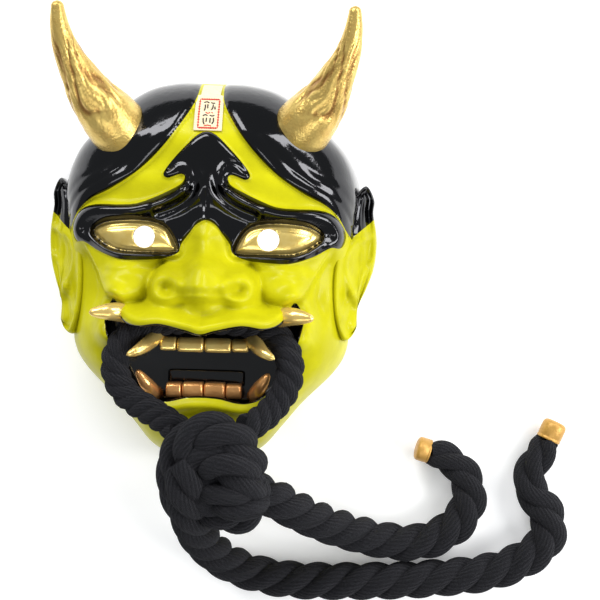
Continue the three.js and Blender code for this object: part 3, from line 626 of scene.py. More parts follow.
outline = smooth_line(mirrored(OUTLINE), True, 12)
hairline, brow = smooth_line(HAIRLINE), smooth_line(mirrored(BROW_PATCH), True, 5)
roll, strand, barb = smooth_line(BROW_ROLL), smooth_line(BROW_STRAND), smooth_line(BROW_BARB)
eye = smooth_line(EYE, True, 6)
nose_fold, lip_fold, jaw = smooth_line(NOSE_FOLD), smooth_line(LIP_FOLD), smooth_line(JAW_LINE)
cheek_edge, cheek_crease = smooth_line(CHEEK_EDGE), smooth_line(CHEEK_CREASE)
mouth, pocket = smooth_line(mirrored(MOUTH), True, 8), smooth_line(mirrored(POCKET), True, 6)
sight_turns = circle_turns(72)
sight = np.array(SIGHT_CENTRE) + SIGHT_RADIUS * np.stack([np.cos(sight_turns), np.sin(sight_turns)], 1)

outline_turn = np.arctan2(outline[:, 1] - HUB[1], outline[:, 0] - HUB[0])
outline_order = np.argsort(outline_turn)
outline_reach = np.hypot(outline[:, 0] - HUB[0], outline[:, 1] - HUB[1])[outline_order]


def outline_radius(angle):
    return np.interp(angle, outline_turn[outline_order], outline_reach, period=2 * math.pi)


print("the face is", round(float(np.ptp(outline[:, 0]))), "by", round(float(np.ptp(outline[:, 1]))), "mm")

# %% [markdown]
# ## Adding up the relief
# Each feature of the face is one function: hair, brows, eyes, nose, cheeks, mouth and jaw.
# They are added to a plain dome that falls to the rim.
# So a feature can be changed without touching its neighbours.
# In these functions a factor is a height, and a reach, a centre and a range are places in the drawing.

# %% The relief of each feature
def crown_relief(x, y):
    distance, share, side, _, _ = nearest(hairline, x, y)
    depth = side * distance
    band = depth / (15 - 9 * share)
    locks = 1.1 * bell(band - 0.8, 0.14) + 0.5 * bell(band - 1.5, 0.2)
    return 4.5 * rounded(depth + 0.5, 5) - locks * rise(0.25, 0.6, share) * rise(100, 84, y)


def brow_relief(x, y):
    patch, _, _ = inside(brow, x, y)
    roll_distance, roll_share = nearest(roll, x, y)[:2]
    strand_distance, strand_share = nearest(strand, x, y)[:2]
    ends = rise(0, 0.12, roll_share) * (1 - 0.5 * rise(0.85, 1, roll_share))
    bulge = 5 * mound(x, y, (0, 38), (13, 22))
    barb_distance, barb_share = nearest(barb, x, y)[:2]
    parting = 1.6 * bell(x, 1.4) * rise(13, 17, y) * rise(36, 28, y)
    grooves = 2 * bell(strand_distance, 1.8) * rise(0, 0.3, strand_share) + parting
    hook = 1.2 * bell(barb_distance, 1.5) * rise(1, 0.7, barb_share)
    ridges = 1.2 * bell(strand_distance - 4, 1.8) * rise(0.1, 0.4, strand_share) - hook
    return 3 * rounded(patch + 0.3, 4) + 6.5 * bell(roll_distance, 5) * ends + bulge - grooves + ridges


def eye_relief(x, y):
    lid, _, _ = inside(eye, x, y)
    rim = 2 * bell(lid + 2.6, 1.5) * rise(8, -2, y)
    fold = 0.7 * bell(lid - 4, 0.7) * rise(3, 8, y)
    return rim - 6.5 * rise(-2.2, 0.4, lid) + 6 * rounded(lid, 9.5) - fold


def nose_relief(x, y):
    ridge = tabled(NOSE_RIDGE, y) * bell(x, 8 + 6 * rise(5, -24, y))
    tip = 15 * plateau(x, y, (0, -22.3), (16, 14))
    wing = 15 * plateau(x, y, (23, -24.5), (11.5, 11.5))
    nostril = 6.5 * mound(x, y, (21, -26.8), (5.5, 4))
    rim = 2.5 * mound(x, y, (17, -32.6), (6, 3))
    return ridge + tip + wing - nostril + rim


def cheek_relief(x, y):
    fold = nearest(nose_fold, x, y)[0]
    distance, share, side, _, _ = nearest(cheek_edge, x, y)
    crease = nearest(cheek_crease, x, y)[0]
    depth = -side * distance
    ends = rise(0, 0.2, share) * rise(1, 0.8, share)
    drop = 7 * rise(2, -2, depth) * bell(np.minimum(depth, 0), 22) * ends
    ball = 9 * plateau(x, y, (50, -22.5), (16, 10.5)) + 4 * mound(x, y, (48, -11), (22, 8))
    return ball - drop - 5 * bell(fold, 2.6) - 1.2 * bell(crease, 2.2)


def mouth_relief(x, y):
    lips, _, _ = inside(mouth, x, y)
    fold = nearest(lip_fold, x, y)[0]
    muzzle = 22 * np.exp(-((x / 55) ** 4)) * bell(y + 50, 17)
    upper = 8 * bell(lips + 4, 6) * rise(-66, -54, y)
    lower = 5 * bell(lips + 5, 5) * rise(-82, -92, y)
    return muzzle + upper + lower - bell(fold, 3)


def jaw_relief(x, y):
    line = nearest(jaw, x, y)[0]
    chin = 7 * mound(x, y, (0, -119), (20, 12)) - 3 * bell(y + 105, 4) * bell(x, 22)
    return chin + 3 * bell(line, 8) - 3 * mound(x, y, (67, -38), (8, 12))


FEATURES = (crown_relief, brow_relief, eye_relief, nose_relief, cheek_relief, mouth_relief, jaw_relief)


def face_height(signed_x, y):
    x = np.abs(signed_x)
    radius = np.hypot(x - HUB[0], y - HUB[1])
    share = radius / outline_radius(np.arctan2(y - HUB[1], x - HUB[0]))
    dome = tabled(CROWN_HEIGHTS, y) * (1 - np.clip(share, 0, 1) ** 5) ** 0.435
    relief = sum(feature(x, y) for feature in FEATURES)
    return np.maximum(dome + relief * rise(1, 0.93, share), 0.02)

# %% [markdown]
# ## A skin with clean openings
# Rings of points around a hub follow the outline of the face, and they crowd towards the steep rim.
# Inside an opening the faces are dropped, and the last points inside it are drawn onto its edge.
# That edge is then turned down into the wall, so an opening shows its thickness.

# %% Lay a skin and cut its openings
def ring_points(spokes, rings, inset=0.0):
    share = np.sin(np.pi / 2 * np.arange(1, rings + 1) / rings)[:, None]
    even = 2 * np.pi * (np.arange(spokes) + 0.5) / spokes
    angle = (even - 0.1 * np.sin(2 * even))[None, :]
    reach = (outline_radius(angle) - inset) * share
    x = np.concatenate([[HUB[0]], (HUB[0] + np.cos(angle) * reach).ravel()])
    y = np.concatenate([[HUB[1]], (HUB[1] + np.sin(angle) * reach).ravel()])
    return x, y


def ring_faces(spokes, rings):
    i = np.arange(spokes)
    j = (i + 1) % spokes
    first = np.stack([np.zeros(spokes, int), 1 + i, 1 + j, np.full(spokes, -1)], 1)
    quads = []
    for near in range(1, 1 + (rings - 1) * spokes, spokes):
        far = near + spokes
        quads.append(np.stack([near + i, far + i, far + j, near + j], 1))
    return np.concatenate([first, *quads])


def turning(loop):
    """1 for a loop that runs anticlockwise and -1 for one that runs clockwise."""
    return np.sign(np.sum(loop[:, 0] * np.roll(loop[:, 1], -1) - loop[:, 1] * np.roll(loop[:, 0], -1)))


def cut(x, y, faces, hole):
    """Drops the faces inside the hole and returns the loose edge as pairs of points, with their way out."""
    depth, foot, way = inside(hole, x, y)
    within = depth > 0
    corner = np.where(faces < 0, faces[:, :1], faces)
    counts = within[corner].sum(1)
    kept = faces[counts < 4]
    mixed = np.unique(corner[(counts > 0) & (counts < 4)])
    moved = mixed[within[mixed]]
    x[moved], y[moved] = foot[0][moved], foot[1][moved]
    pairs = {}
    for face in kept[np.isin(kept, moved).any(1)]:
        loop = [v for v in face if v >= 0]
        for a, b in zip(loop, loop[1:] + loop[:1]):
            pairs[(a, b)] = True
    on_edge = set(moved.tolist())
    edges = [(a, b) for a, b in pairs if (b, a) not in pairs and a in on_edge and b in on_edge]
    turn = turning(hole)
    out = {v: turn * np.array((way[1][v], -way[0][v])) for v in on_edge}
    return kept, edges, out


def turned_down(points, edges, out, profile):
    """Strips of faces from the edge of an opening along a profile of (outward, downward) steps."""
    rim = sorted({v for edge in edges for v in edge})
    faces, ring = [], {v: v for v in rim}
    for outward, down in profile:
        start = len(points)
        lower = {v: start + i for i, v in enumerate(rim)}
        for v in rim:
            (x, y, z), (out_x, out_y) = points[v], out[v]
            points.append([x + outward * out_x, y + outward * out_y, z - down])
        faces += [(ring[b], ring[a], lower[a], lower[b]) for a, b in edges]
        ring = lower
    return faces

# %% [markdown]
# ## Lacquer in four colours
# The face is one casting, sprayed yellow-green and then painted by hand.
# Its hair, brows and mouth are black, and its eyes are gold.
# The mesh stores each point's distance to the painted edges, and the shader turns them into crisp borders.
# Each paint has its own colour and gloss, and faint orange-peel ripples keep it from looking like glass.

# %% Mix the lacquers
GREEN = (0.56, 0.53, 0.006)
GREEN_SHADE = (0.47, 0.44, 0.005)
BLACK = (0.006, 0.006, 0.007)
BLACK_MIRROR = (0.042, 0.042, 0.044)  # black lacquer as a dim mirror, so that it gives no light of its own
GOLD = (0.9, 0.68, 0.22)
GOLD_SHADE = (0.84, 0.6, 0.16)
MOUTH_GREY = (0.012, 0.012, 0.013)
RESIN_BLACK = (0.012, 0.012, 0.012)
RESIN_GREY = (0.03, 0.03, 0.032)
PAINT_EDGES = (("hair", 0.25), ("brow", 0.25), ("lips", 0.3))  # half the width of each soft border


def lacquer_material():
    made, tree, shader = material(
        "lacquered_resin", Metallic=0.0, Roughness=0.3, Coat_Weight=0.06, Coat_Roughness=0.12
    )
    shader.inputs["Specular IOR Level"].default_value = 0.1
    place = object_place(tree)
    cloud = noise(tree, place, 45, 3)
    hair, brows, lips = (ramp(tree, attribute(tree, key), -edge, edge) for key, edge in PAINT_EDGES)
    black = math_node(tree, "MAXIMUM", hair, math_node(tree, "MAXIMUM", brows, lips))
    gilt = ramp(tree, attribute(tree, "eye"), -0.2, 0.2)
    green = blend_colours(tree, ramp(tree, cloud, 0.3, 0.7), GREEN, GREEN_SHADE)
    painted = blend_colours(tree, black, green, BLACK_MIRROR)
    brushed = blend_colours(tree, ramp(tree, noise(tree, place, 220, 4), 0.35, 0.7), GOLD, GOLD_SHADE)
    gloss = blend_numbers(tree, black, 0.34, 0.1)
    paint(
        tree, shader, Base_Color=blend_colours(tree, gilt, painted, brushed),
        Metallic=blend_numbers(tree, gilt, black, 0.7), Roughness=blend_numbers(tree, gilt, gloss, 0.24),
    )
    bumped(tree, shader, noise(tree, place, 260, 2), 0.00012)
    return made


def inner_resin_material():
    made, tree, shader = material("bare_resin", Roughness=0.5)
    place = object_place(tree)
    cloud = noise(tree, place, 40, 5, 0.6)
    paint(tree, shader, Base_Color=blend_colours(tree, cloud, RESIN_BLACK, RESIN_GREY))
    bumped(tree, shader, noise(tree, place, 300, 4), 0.0004)
    return made


lacquer, inner_resin = lacquer_material(), inner_resin_material()
black_lacquer = grained(
    "black_lacquer", BLACK, MOUTH_GREY, 60, 3, 0.0006, Roughness=0.12, Coat_Weight=0.3, Coat_Roughness=0.06
)
print("made", lacquer.name, inner_resin.name, "and", black_lacquer.name)

# %% [markdown]
# ## The face
# The skin is laid finely, about one point for each millimetre, so that creases stay sharp.
# The flat rim that the mask lies on closes the wall at the back.

# %% Cast the face
WALL = 4
FACE_SPOKES, FACE_RINGS = 440, 205
LIP_PROFILE = [(-0.5, 0.5), (-0.75, 1.3), (-0.6, 2.4), (-0.1, 3.6), (0.6, 5)]
SIGHT_PROFILE = [(-0.25, 0.25), (-0.35, 0.8), (-0.3, 2), (0, 4)]


def whole_faces(faces):
    return [tuple(int(v) for v in face if v >= 0) for face in faces]


def face_piece():
    spokes, rings = FACE_SPOKES, FACE_RINGS
    x, y = ring_points(spokes, rings)
    faces = ring_faces(spokes, rings)
    rims = []
    for hole in (mouth, sight, sight * (-1, 1)):
        faces, edges, out = cut(x, y, faces, hole)
        rims.append((edges, out))
    z = face_height(x, y)
    z[-spokes:] = 0
    points = np.stack([x, y, z], 1).tolist()
    faces = whole_faces(faces)
    for (edges, out), profile in zip(rims, (LIP_PROFILE, SIGHT_PROFILE, SIGHT_PROFILE)):
        faces += turned_down(points, edges, out, profile)
    rim_start, ring_start = len(points), 1 + spokes * (rings - 1)
    for rim_x, rim_y, _ in points[ring_start:ring_start + spokes]:
        angle = math.atan2(rim_y - HUB[1], rim_x - HUB[0])
        points.append([rim_x - WALL * math.cos(angle), rim_y - WALL * math.sin(angle), 0])
    faces += [
        (ring_start + i, rim_start + i, rim_start + (i + 1) % spokes, ring_start + (i + 1) % spokes)
        for i in range(spokes)
    ]
    ends = np.array(points)
    half = np.abs(ends[:, 0])
    hair_distance, _, hair_side, _, _ = nearest(hairline, half, ends[:, 1])
    numbers = {
        "hair": hair_side * hair_distance,
        "brow": inside(brow, half, ends[:, 1])[0],
        "eye": inside(eye, half, ends[:, 1])[0],
        "lips": inside(mouth, ends[:, 0], ends[:, 1])[0] + 0.4,
    }
    return piece("face", points, faces, "lacquered_resin", [lacquer], numbers)


face = face_piece()
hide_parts("mask_shell")
print("face", len(face.data.polygons), "faces")

# %% [markdown]
# ## The inside
# The wearer's side follows the front one wall thickness lower, and it is softer, as castings are.
# A map of heights is sampled once and lowered by rolling a ball of the wall's thickness under it.
# Then it is smoothed.

# %% Lower the inside by one wall
MAP_X, MAP_Y = (-104, 104), (-144, 114)  # the range of a map with one height for each millimetre
INSIDE_SPOKES, INSIDE_RINGS = 200, 90
SMOOTHINGS = 6
NEIGHBOURS = ((1, 0), (-1, 0), (0, 1), (0, -1))
map_x, map_y = np.meshgrid(*(np.arange(low, high + 1.0) for low, high in (MAP_X, MAP_Y)))
height_map = face_height(map_x, map_y)


def shifted(values, dx, dy):
    return np.roll(np.roll(values, dy, 0), dx, 1)


inside_map = height_map - WALL
for dx in range(-WALL, WALL + 1):
    for dy in range(-WALL, WALL + 1):
        left = WALL * WALL - dx * dx - dy * dy
        if left >= 0:
            inside_map = np.minimum(inside_map, shifted(height_map, dx, dy) - math.sqrt(left))
for _ in range(SMOOTHINGS):
    around = sum(shifted(inside_map, dx, dy) for dx, dy in NEIGHBOURS)
    inside_map = (inside_map + around) / (1 + len(NEIGHBOURS))


def inside_height(x, y):
    u, v = (
        np.clip(place - low, 0, high - low - 0.01) for place, (low, high) in ((x, MAP_X), (y, MAP_Y))
    )
    i, j = u.astype(int), v.astype(int)
    p, q = u - i, v - j
    low = inside_map[j, i] * (1 - p) + inside_map[j, i + 1] * p
    high = inside_map[j + 1, i] * (1 - p) + inside_map[j + 1, i + 1] * p
    return low * (1 - q) + high * q


def inside_piece():
    x, y = ring_points(INSIDE_SPOKES, INSIDE_RINGS, WALL)
    faces = ring_faces(INSIDE_SPOKES, INSIDE_RINGS)
    for hole in (mouth, sight, sight * (-1, 1)):
        faces = cut(x, y, faces, hole)[0]
    z = np.maximum(inside_height(x, y) - 0.4, 0)
    z[-INSIDE_SPOKES:] = 0
    faces = [face[::-1] for face in whole_faces(faces)]
    return piece("inside", np.stack([x, y, z], 1), faces, "lacquered_resin", [inner_resin])


inner_face = inside_piece()
print("inside", len(inner_face.data.polygons), "faces")

# %% [markdown]
# ## The mouth's lining
# A black box closes the mouth from behind, deep enough for the rope to pass behind the upper teeth.
# Its walls follow the pocket's outline up to the underside of the lips, and a raised ledge crosses its floor.

# %% Build the lining
POCKET_FLOOR = 44
LEDGE_CENTRE = np.array((0, -82))
LEDGE_HALF = (24.5, 5)
LEDGE_POINTS = 48
LEDGE_STEPS = ((0, 0.2), (0, 2.6), (0.4, 3.4), (1.2, 3.8))  # inset and height over the floor
LINING_WALL = 3
LINING_STEPS = ((0, 3), (0.8, 0.8), (2.5, 0))  # the same, where the walls curve into the floor


def offset_loop(loop, distance):
    way = np.roll(loop, -1, 0) - np.roll(loop, 1, 0)
    way /= np.linalg.norm(way, axis=1)[:, None]
    return loop + distance * turning(loop) * np.stack([way[:, 1], -way[:, 0]], 1)


def squared(turn, power):
    return np.sign(turn) * np.abs(turn) ** power


def lining_piece():
    outer = offset_loop(pocket, LINING_WALL)
    loops = []
    for loop, low in ((pocket, POCKET_FLOOR), (outer, POCKET_FLOOR - LINING_WALL)):
        top = np.maximum(inside_height(loop[:, 0], loop[:, 1]) + 0.8, low + 1)
        steps = [(loop, top)]
        for inset, height in LINING_STEPS:
            steps.append((offset_loop(loop, -inset), np.full(len(loop), low + height)))
        loops.append([np.column_stack([xy, z]) for xy, z in steps])
    turns = 2 * np.pi * (np.arange(LEDGE_POINTS) + 0.5) / LEDGE_POINTS
    square = np.stack([squared(np.cos(turns), 0.16), squared(np.sin(turns), 0.2)], 1)
    ledge = []
    for inset, height in LEDGE_STEPS:
        edge = LEDGE_CENTRE + square * (np.array(LEDGE_HALF) - inset)
        ledge.append(np.column_stack([edge, np.full(LEDGE_POINTS, POCKET_FLOOR + height)]))
    points = np.concatenate(ledge).tolist()
    faces = rings_between(ledge)
    for order, rings in zip((1, -1), loops):
        start = len(points)
        points += np.concatenate(rings).tolist()
        count = len(pocket)
        found = [tuple(start + v for v in face) for face in rings_between(rings, close=False)]
        found.append(tuple(start + (len(rings) - 1) * count + i for i in range(count)))
        faces += [face[::-order] for face in found]
    return piece("mouth_lining", points, faces, "lacquered_resin", [black_lacquer])


lining = lining_piece()
print("lining", len(lining.data.polygons), "faces")

# %% [markdown]
# ## Gold paint
# Teeth, tusks and horns are sprayed with gold paint, which is smoother than leaf but not a mirror.
# A cloudy mix of two golds and a faint ripple break up the reflections, and a brown painted shade darkens the
# creases.

# %% Mix the gold
# The third colour of each set is painted shade for the creases of the horns.
HORN_GOLDS = ((0.72, 0.52, 0.15), (0.58, 0.38, 0.1), (0.3, 0.15, 0.035))  # bright, worn and deep in a crease
TOOTH_GOLDS = (GOLD, (0.8, 0.52, 0.15), (0.36, 0.19, 0.05))
# The lower teeth and molars use a darker, coppery gold as painted shade and reflection, for their place deep
# in the mouth.
SHADED_TOOTH_GOLDS = ((0.97, 0.5, 0.18), (0.75, 0.36, 0.12), (0.36, 0.16, 0.05))
TOOTH_GLOSS = ((0.14, 0.3), 0.00015)


def gold_material(name, golds, rough, ripple):
    made, tree, shader = material(name, Metallic=0.65, Roughness=0.3)
    place = object_place(tree)
    cloud = noise(tree, place, 120, 4)
    bright, worn, deep = golds
    bright = blend_colours(tree, ramp(tree, cloud, 0.3, 0.75), bright, worn)
    # Painted shade: the gold turns brown where the grooves are deepest.
    crease = ramp(tree, attribute(tree, "crease"), 0.25, 0.95)
    paint(
        tree, shader, Base_Color=blend_colours(tree, crease, bright, deep),
        Roughness=blend_numbers(tree, cloud, *rough),
    )
    bumped(tree, shader, noise(tree, place, 700, 3), ripple)
    return made


horn_gold = gold_material("horn_gold", HORN_GOLDS, (0.16, 0.36), 0.0003)
tooth_gold = gold_material("tooth_gold", TOOTH_GOLDS, *TOOTH_GLOSS)
shaded_tooth_gold = gold_material("shaded_tooth_gold", SHADED_TOOTH_GOLDS, *TOOTH_GLOSS)
print("made", horn_gold.name, tooth_gold.name, "and", shaded_tooth_gold.name)

# %% [markdown]
# ## The horns
# A horn is a tapering tube along a bend, with wavy grooves like bark up its middle.
# The grooves are real relief, made from waves that wander along the horn.
# They fade at the base and the tip.

# %% Carve the horns
HORN_SEATS = {1: (57.5, 75.5), -1: (57, 73.2)}
HORN_LENGTH = 90
HORN_BASE = 36.5
HORN_RINGS = 150
HORN_SIDES = 96
TIP_RINGS = 6
DEEPEST_GROOVE = 0.08  # as a share of the radius
HORN_WAY = [
    (-0.14, -0.16, -0.2), (0, 0, 0), (0.139, 0.161, 0.14), (0.217, 0.3, 0.25), (0.277, 0.433, 0.34),
    (0.302, 0.539, 0.4), (0.309, 0.631, 0.44), (0.308, 0.699, 0.467),
]
HORN_SWELL = [0.95, 0.98, 1, 1, 0.94, 0.84, 0.73, 0.62, 0.52, 0.43, 0.34, 0.26, 0.17]


def even_line(points, count):
    fine = smooth_line(points, steps=24)
    travel = np.concatenate([[0], np.cumsum(np.linalg.norm(np.diff(fine, axis=0), axis=1))])
    wanted = np.linspace(0, travel[-1], count)
    return np.stack([np.interp(wanted, travel, fine[:, axis]) for axis in range(3)], 1)


def frames(line):
    way = np.gradient(line, axis=0)
    way /= np.linalg.norm(way, axis=1)[:, None]
    side = np.cross(way[0], (0.3, 0.2, 1.0))
    sides = []
    for step in way:
        side = side - step * np.dot(side, step)
        side /= np.linalg.norm(side)
        sides.append(side)
    sides = np.array(sides)
    return sides, np.cross(way, sides)


def tapered(line, radii, sides_count, relief=None):
    """Rings around a line, with an optional relief of shares of the radius for (share along, angle)."""
    side, up = frames(line)
    turns = circle_turns(sides_count)
    rings, marks = [], []
    for i, centre in enumerate(line):
        mark = relief(i / (len(line) - 1), turns) if relief else np.zeros(sides_count)
        reach = radii[i] * (1 - mark)
        around = np.outer(np.cos(turns), side[i]) + np.outer(np.sin(turns), up[i])
        rings.append(centre + reach[:, None] * around)
        marks.append(mark)
    return rings, np.concatenate(marks)


def horn_relief(share, turns):
    middle = rise(0.3, 0.46, share) * rise(0.95, 0.72, share)
    wander = 0.5 * math.sin(9 * share) + 0.25 * math.sin(23 * share + 1)
    ridges = 0.5 + 0.5 * np.sin(7 * turns + 3 * wander + 2.2 * np.sin(2 * turns + 14 * share))
    fine = 0.5 + 0.5 * np.sin(17 * turns - 5 * wander + 1.6 * np.sin(3 * turns + 31 * share))
    return middle * (0.06 * ridges ** 3 + 0.035 * fine ** 2)


def horn_piece(name, node, side):
    seat_x, seat_y = HORN_SEATS[side]
    seat = np.array([seat_x, seat_y, float(face_height(np.array(seat_x), np.array(seat_y)))])
    line = even_line([seat + np.array(step) * HORN_LENGTH for step in HORN_WAY], HORN_RINGS)
    share = np.linspace(0, 1, HORN_RINGS)
    radii = np.interp(share, np.linspace(0, 1, len(HORN_SWELL)), HORN_SWELL) * HORN_BASE / 2
    tip = share[-TIP_RINGS:]
    onward = (tip - tip[0]) / (1 - tip[0])
    radii[-TIP_RINGS:] = radii[-TIP_RINGS] * np.sqrt(np.clip(1 - onward ** 2, 0.0004, 1))
    rings, marks = tapered(line, radii, HORN_SIDES, horn_relief)
    points, faces = np.concatenate(rings), rings_between(rings)
    if side < 0:
        points, faces = mirror_image(points, faces)
    made = piece(name, points, faces, "horn_gold", [horn_gold], {"crease": marks / DEEPEST_GROOVE})
    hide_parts(node)
    print(name, len(faces), "faces")


horn_piece("right_horn", "horn_right", 1)
horn_piece("left_horn", "horn_left", -1)

# %% [markdown]
# ## The teeth
# Flat incisors stand in the gums, long fangs bracket them, and two tusks leave the mouth's corners sideways.
# An incisor is a rounded block of rings, and fangs and tusks are tapers.

# %% Set the teeth
UPPER_TEETH = {"edges": (0, 17, 27.6), "root": -56.8, "tip": -65, "low": 56, "high": 71}
LOWER_TEETH = {"edges": (0, 13.6, 23.6), "root": -93, "tip": -84, "low": 52, "high": 67}
FANG_ROOT = 10
UPPER_FANG = [(29, -50.5, 58), (30, -54.5, 67), (32.5, -59, 76), (37.8, -63.5, 84), (44.3, -66.8, 89)]
LOWER_FANG = [(31, -93, 50), (32.3, -90.5, 60), (35.5, -85, 67), (38.6, -80, 70), (40.8, -76.6, 71)]
TUSK_LENGTH = 17.5
TUSK_ROOT = 12
TUSK_SEAT = np.array((49.5, -41.5, 85))
TUSK_WAY = [(-0.35, -0.1, -0.9), (0, 0, -0.28), (0.3, 0.02, 0), (0.65, 0, 0.16), (1, -0.02, 0.34)]
MOLAR_ROOT = 7
MOLAR = [(43, -56.5, 62), (44.3, -55, 68), (45, -54, 73), (45.3, -53.5, 75)]
TOOTH_PROFILE = [
    (-0.1, 0.9, 0.6), (0.0, 0.96, 0.75), (0.12, 0.99, 0.9), (0.3, 1, 0.98), (0.55, 1, 1), (0.8, 0.99, 0.97),
    (0.93, 0.96, 0.9), (1.0, 0.88, 0.75), (1.02, 0.7, 0.5),
]
TOOTH_SIDES = 40
TAPER_AT = [0, 0.2, 0.45, 0.65, 0.82, 0.93, 0.98, 1]
TAPER = [1, 1, 0.97, 0.86, 0.64, 0.42, 0.24, 0.01]
TAPER_RINGS, TAPER_SIDES = 28, 32


def tooth_rings(left, right, row):
    half, centre = (right - left) / 2 - 0.1, (left + right) / 2
    sag = 1.8 * (1 - bell(centre, 30))
    middle, thick = (row["low"] + row["high"]) / 2, (row["high"] - row["low"]) / 2
    reach = row["tip"] - row["root"]
    turns = circle_turns(TOOTH_SIDES)
    rings = []
    for along, wide, deep in TOOTH_PROFILE:
        x = centre + half * wide * squared(np.cos(turns), 0.25)
        y = row["root"] + reach * along - math.copysign(sag, reach) * along
        z = middle + thick * deep * squared(np.sin(turns), 0.35)
        rings.append(np.stack([x, np.full(TOOTH_SIDES, y), z], 1))
    return rings


def gather(parts):
    """Puts lists of rings into one set of points and faces."""
    points, faces = [], []
    for rings, turned in parts:
        start = len(points)
        points += np.concatenate(rings).tolist()
        found = rings_between(rings)
        faces += [tuple(start + v for v in (face[::-1] if turned else face)) for face in found]
    return points, faces


def pointed(route, root):
    line = even_line(route, TAPER_RINGS)
    radii = np.interp(np.linspace(0, 1, TAPER_RINGS), TAPER_AT, TAPER)
    return tapered(line, radii * root / 2, TAPER_SIDES)[0]


def both_sides(rings):
    return [(rings, False), ([ring * (-1, 1, 1) for ring in rings], True)]


def set_teeth(name, parts, gilding):
    points, faces = gather(parts)
    piece(name, points, faces, "lacquered_resin", [gilding])
    print(name, len(faces), "faces")


# The lower row takes the coppery gold, which is painted shade.
for name, row, fang, gilding in (
    ("upper", UPPER_TEETH, UPPER_FANG, tooth_gold), ("lower", LOWER_TEETH, LOWER_FANG, shaded_tooth_gold),
):
    incisors = []
    for left, right in zip(row["edges"][:-1], row["edges"][1:]):
        incisors += both_sides(tooth_rings(left, right, row))
    set_teeth(f"{name}_incisors", incisors, gilding)
    set_teeth(f"{name}_fangs", both_sides(pointed(fang, FANG_ROOT)), gilding)
tusk_route = [TUSK_SEAT + np.array(step) * TUSK_LENGTH for step in TUSK_WAY]
# The molars also take the coppery painted-shade gold.
set_teeth("molars", both_sides(pointed(MOLAR, MOLAR_ROOT)), shaded_tooth_gold)
set_teeth("tusks", both_sides(pointed(tusk_route, TUSK_ROOT)), tooth_gold)

# %% [markdown]
# ## The ears
# Long pointed ears lie folded along both sides of the head, with a black leaf-shaped tip.
# Rings shrink from the ear's outline towards its spine.
# The height over each ring gives the rolled edge and the hollow.

# %% Shape the ears
EAR = [
    (100, 45), (106, 36), (105.5, 27), (108, 14), (108.4, 3), (106.5, -10), (101.5, -23), (96, -34),
    (95.2, -42), (95, -48), (91, -55), (86, -56), (81, -44), (79, -28), (79, -10), (81, 8),
    (86, 22), (93, 38),
]
EAR_SPINE = ((98, 36), (95, -46))
EAR_TILT = 1.1
EAR_OUT = 108.4  # where the ear's tilt begins
TIP_HEIGHT = 18  # where the black tip begins, beside the face
TIP_SLANT = 0.9
UNPAINTED = -9.0  # a distance to a painted edge that is far outside it
EAR_FOLD = smooth_line([(103, 12), (98, 9), (92, 6), (88, -4), (88, -16), (92, -26), (95, -32)])
EAR_RIDGE = smooth_line([(103, -6), (99, -14), (96, -22), (90, -30), (86, -42)])
EAR_LEVELS = [
    (0.86, 5), (0.96, 9), (1.0, 14), (0.99, 19), (0.96, 22.5), (0.9, 25), (0.83, 26), (0.76, 25.6),
    (0.68, 24.4), (0.6, 23.4), (0.52, 23), (0.44, 23.2), (0.36, 24), (0.28, 25), (0.2, 25.8),
    (0.12, 26.2), (0.04, 26.3),
]


def ear_piece(name, side):
    shape = smooth_line(EAR, True, 8)
    (top_x, top_y), (foot_x, foot_y) = EAR_SPINE
    along = np.clip((shape[:, 1] - foot_y) / (top_y - foot_y), 0, 1)
    spine = np.stack([foot_x + (top_x - foot_x) * along, np.clip(shape[:, 1], foot_y, top_y)], 1)
    rings = []
    for share, z in EAR_LEVELS:
        xy = spine + (shape - spine) * share
        x, y = xy.T
        hollow = 6 * mound(x, y, (95, -4), (6, 15)) + 3 * mound(x, y, (99, 29), (3.5, 9))
        hollow = hollow + 3 * mound(x, y, (91, -34), (5, 7))
        folds = 4 * bell(nearest(EAR_FOLD, x, y)[0], 2.4) + 3 * bell(nearest(EAR_RIDGE, x, y)[0], 2.2)
        relief = (folds - hollow + 2.5 * mound(x, y, (91, -48), (6, 6))) * rise(1, 0.8, share)
        rings.append(np.column_stack([xy, z + EAR_TILT * (EAR_OUT - x) + relief]))
    points, faces = np.concatenate(rings), [face[::-1] for face in rings_between(rings)]
    if side < 0:
        points, faces = mirror_image(points, faces)
    numbers = dict.fromkeys(("brow", "eye", "lips"), np.full(len(points), UNPAINTED))
    numbers["hair"] = points[:, 1] - TIP_HEIGHT - TIP_SLANT * (np.abs(points[:, 0]) - 100)
    piece(name, points, faces, "lacquered_resin", [lacquer], numbers)
    print(name, len(faces), "faces")


ear_piece("right_ear", 1)
ear_piece("left_ear", -1)

# %% [markdown]
# ## The paper seal
# A strip of cream paper is pasted down the middle of the forehead, with a red frame and black brush marks.
# The marks here are plain strokes that spell nothing, and small lozenges fill the frame, a common border.
# Marks that follow lines are one more job for Geometry Nodes.
# Each line becomes a flat ribbon just over the paper.

# %% Cut the paper
SEAL_WIDTH = 17
SEAL_TOP = 103.5
SEAL_SHOULDER = 93.2
SEAL_NECK = 12
SEAL_FOOT = 69
SEAL_LIFT = 1.3
SEAL_GRID = (25, 61)  # points across and along
PAPER_WARM = (0.80, 0.66, 0.42)
PAPER_STAIN = (0.70, 0.53, 0.30)
PAPER_PALE = (0.86, 0.76, 0.56)


def paper_material():
    made, tree, shader = material("seal_paper", Roughness=0.8, Sheen_Weight=0.1)
    place = object_place(tree)
    fibre = noise(tree, place, 900, 5, 0.7)
    stain = noise(tree, place, 60, 3)
    warm = blend_colours(tree, stain, PAPER_WARM, PAPER_STAIN)
    paint(tree, shader, Base_Color=blend_colours(tree, ramp(tree, fibre, 0.3, 0.8), warm, PAPER_PALE))
    bumped(tree, shader, fibre, 0.0001)
    return made


def seal_height(y):
    return face_height(np.zeros_like(y), y) + SEAL_LIFT


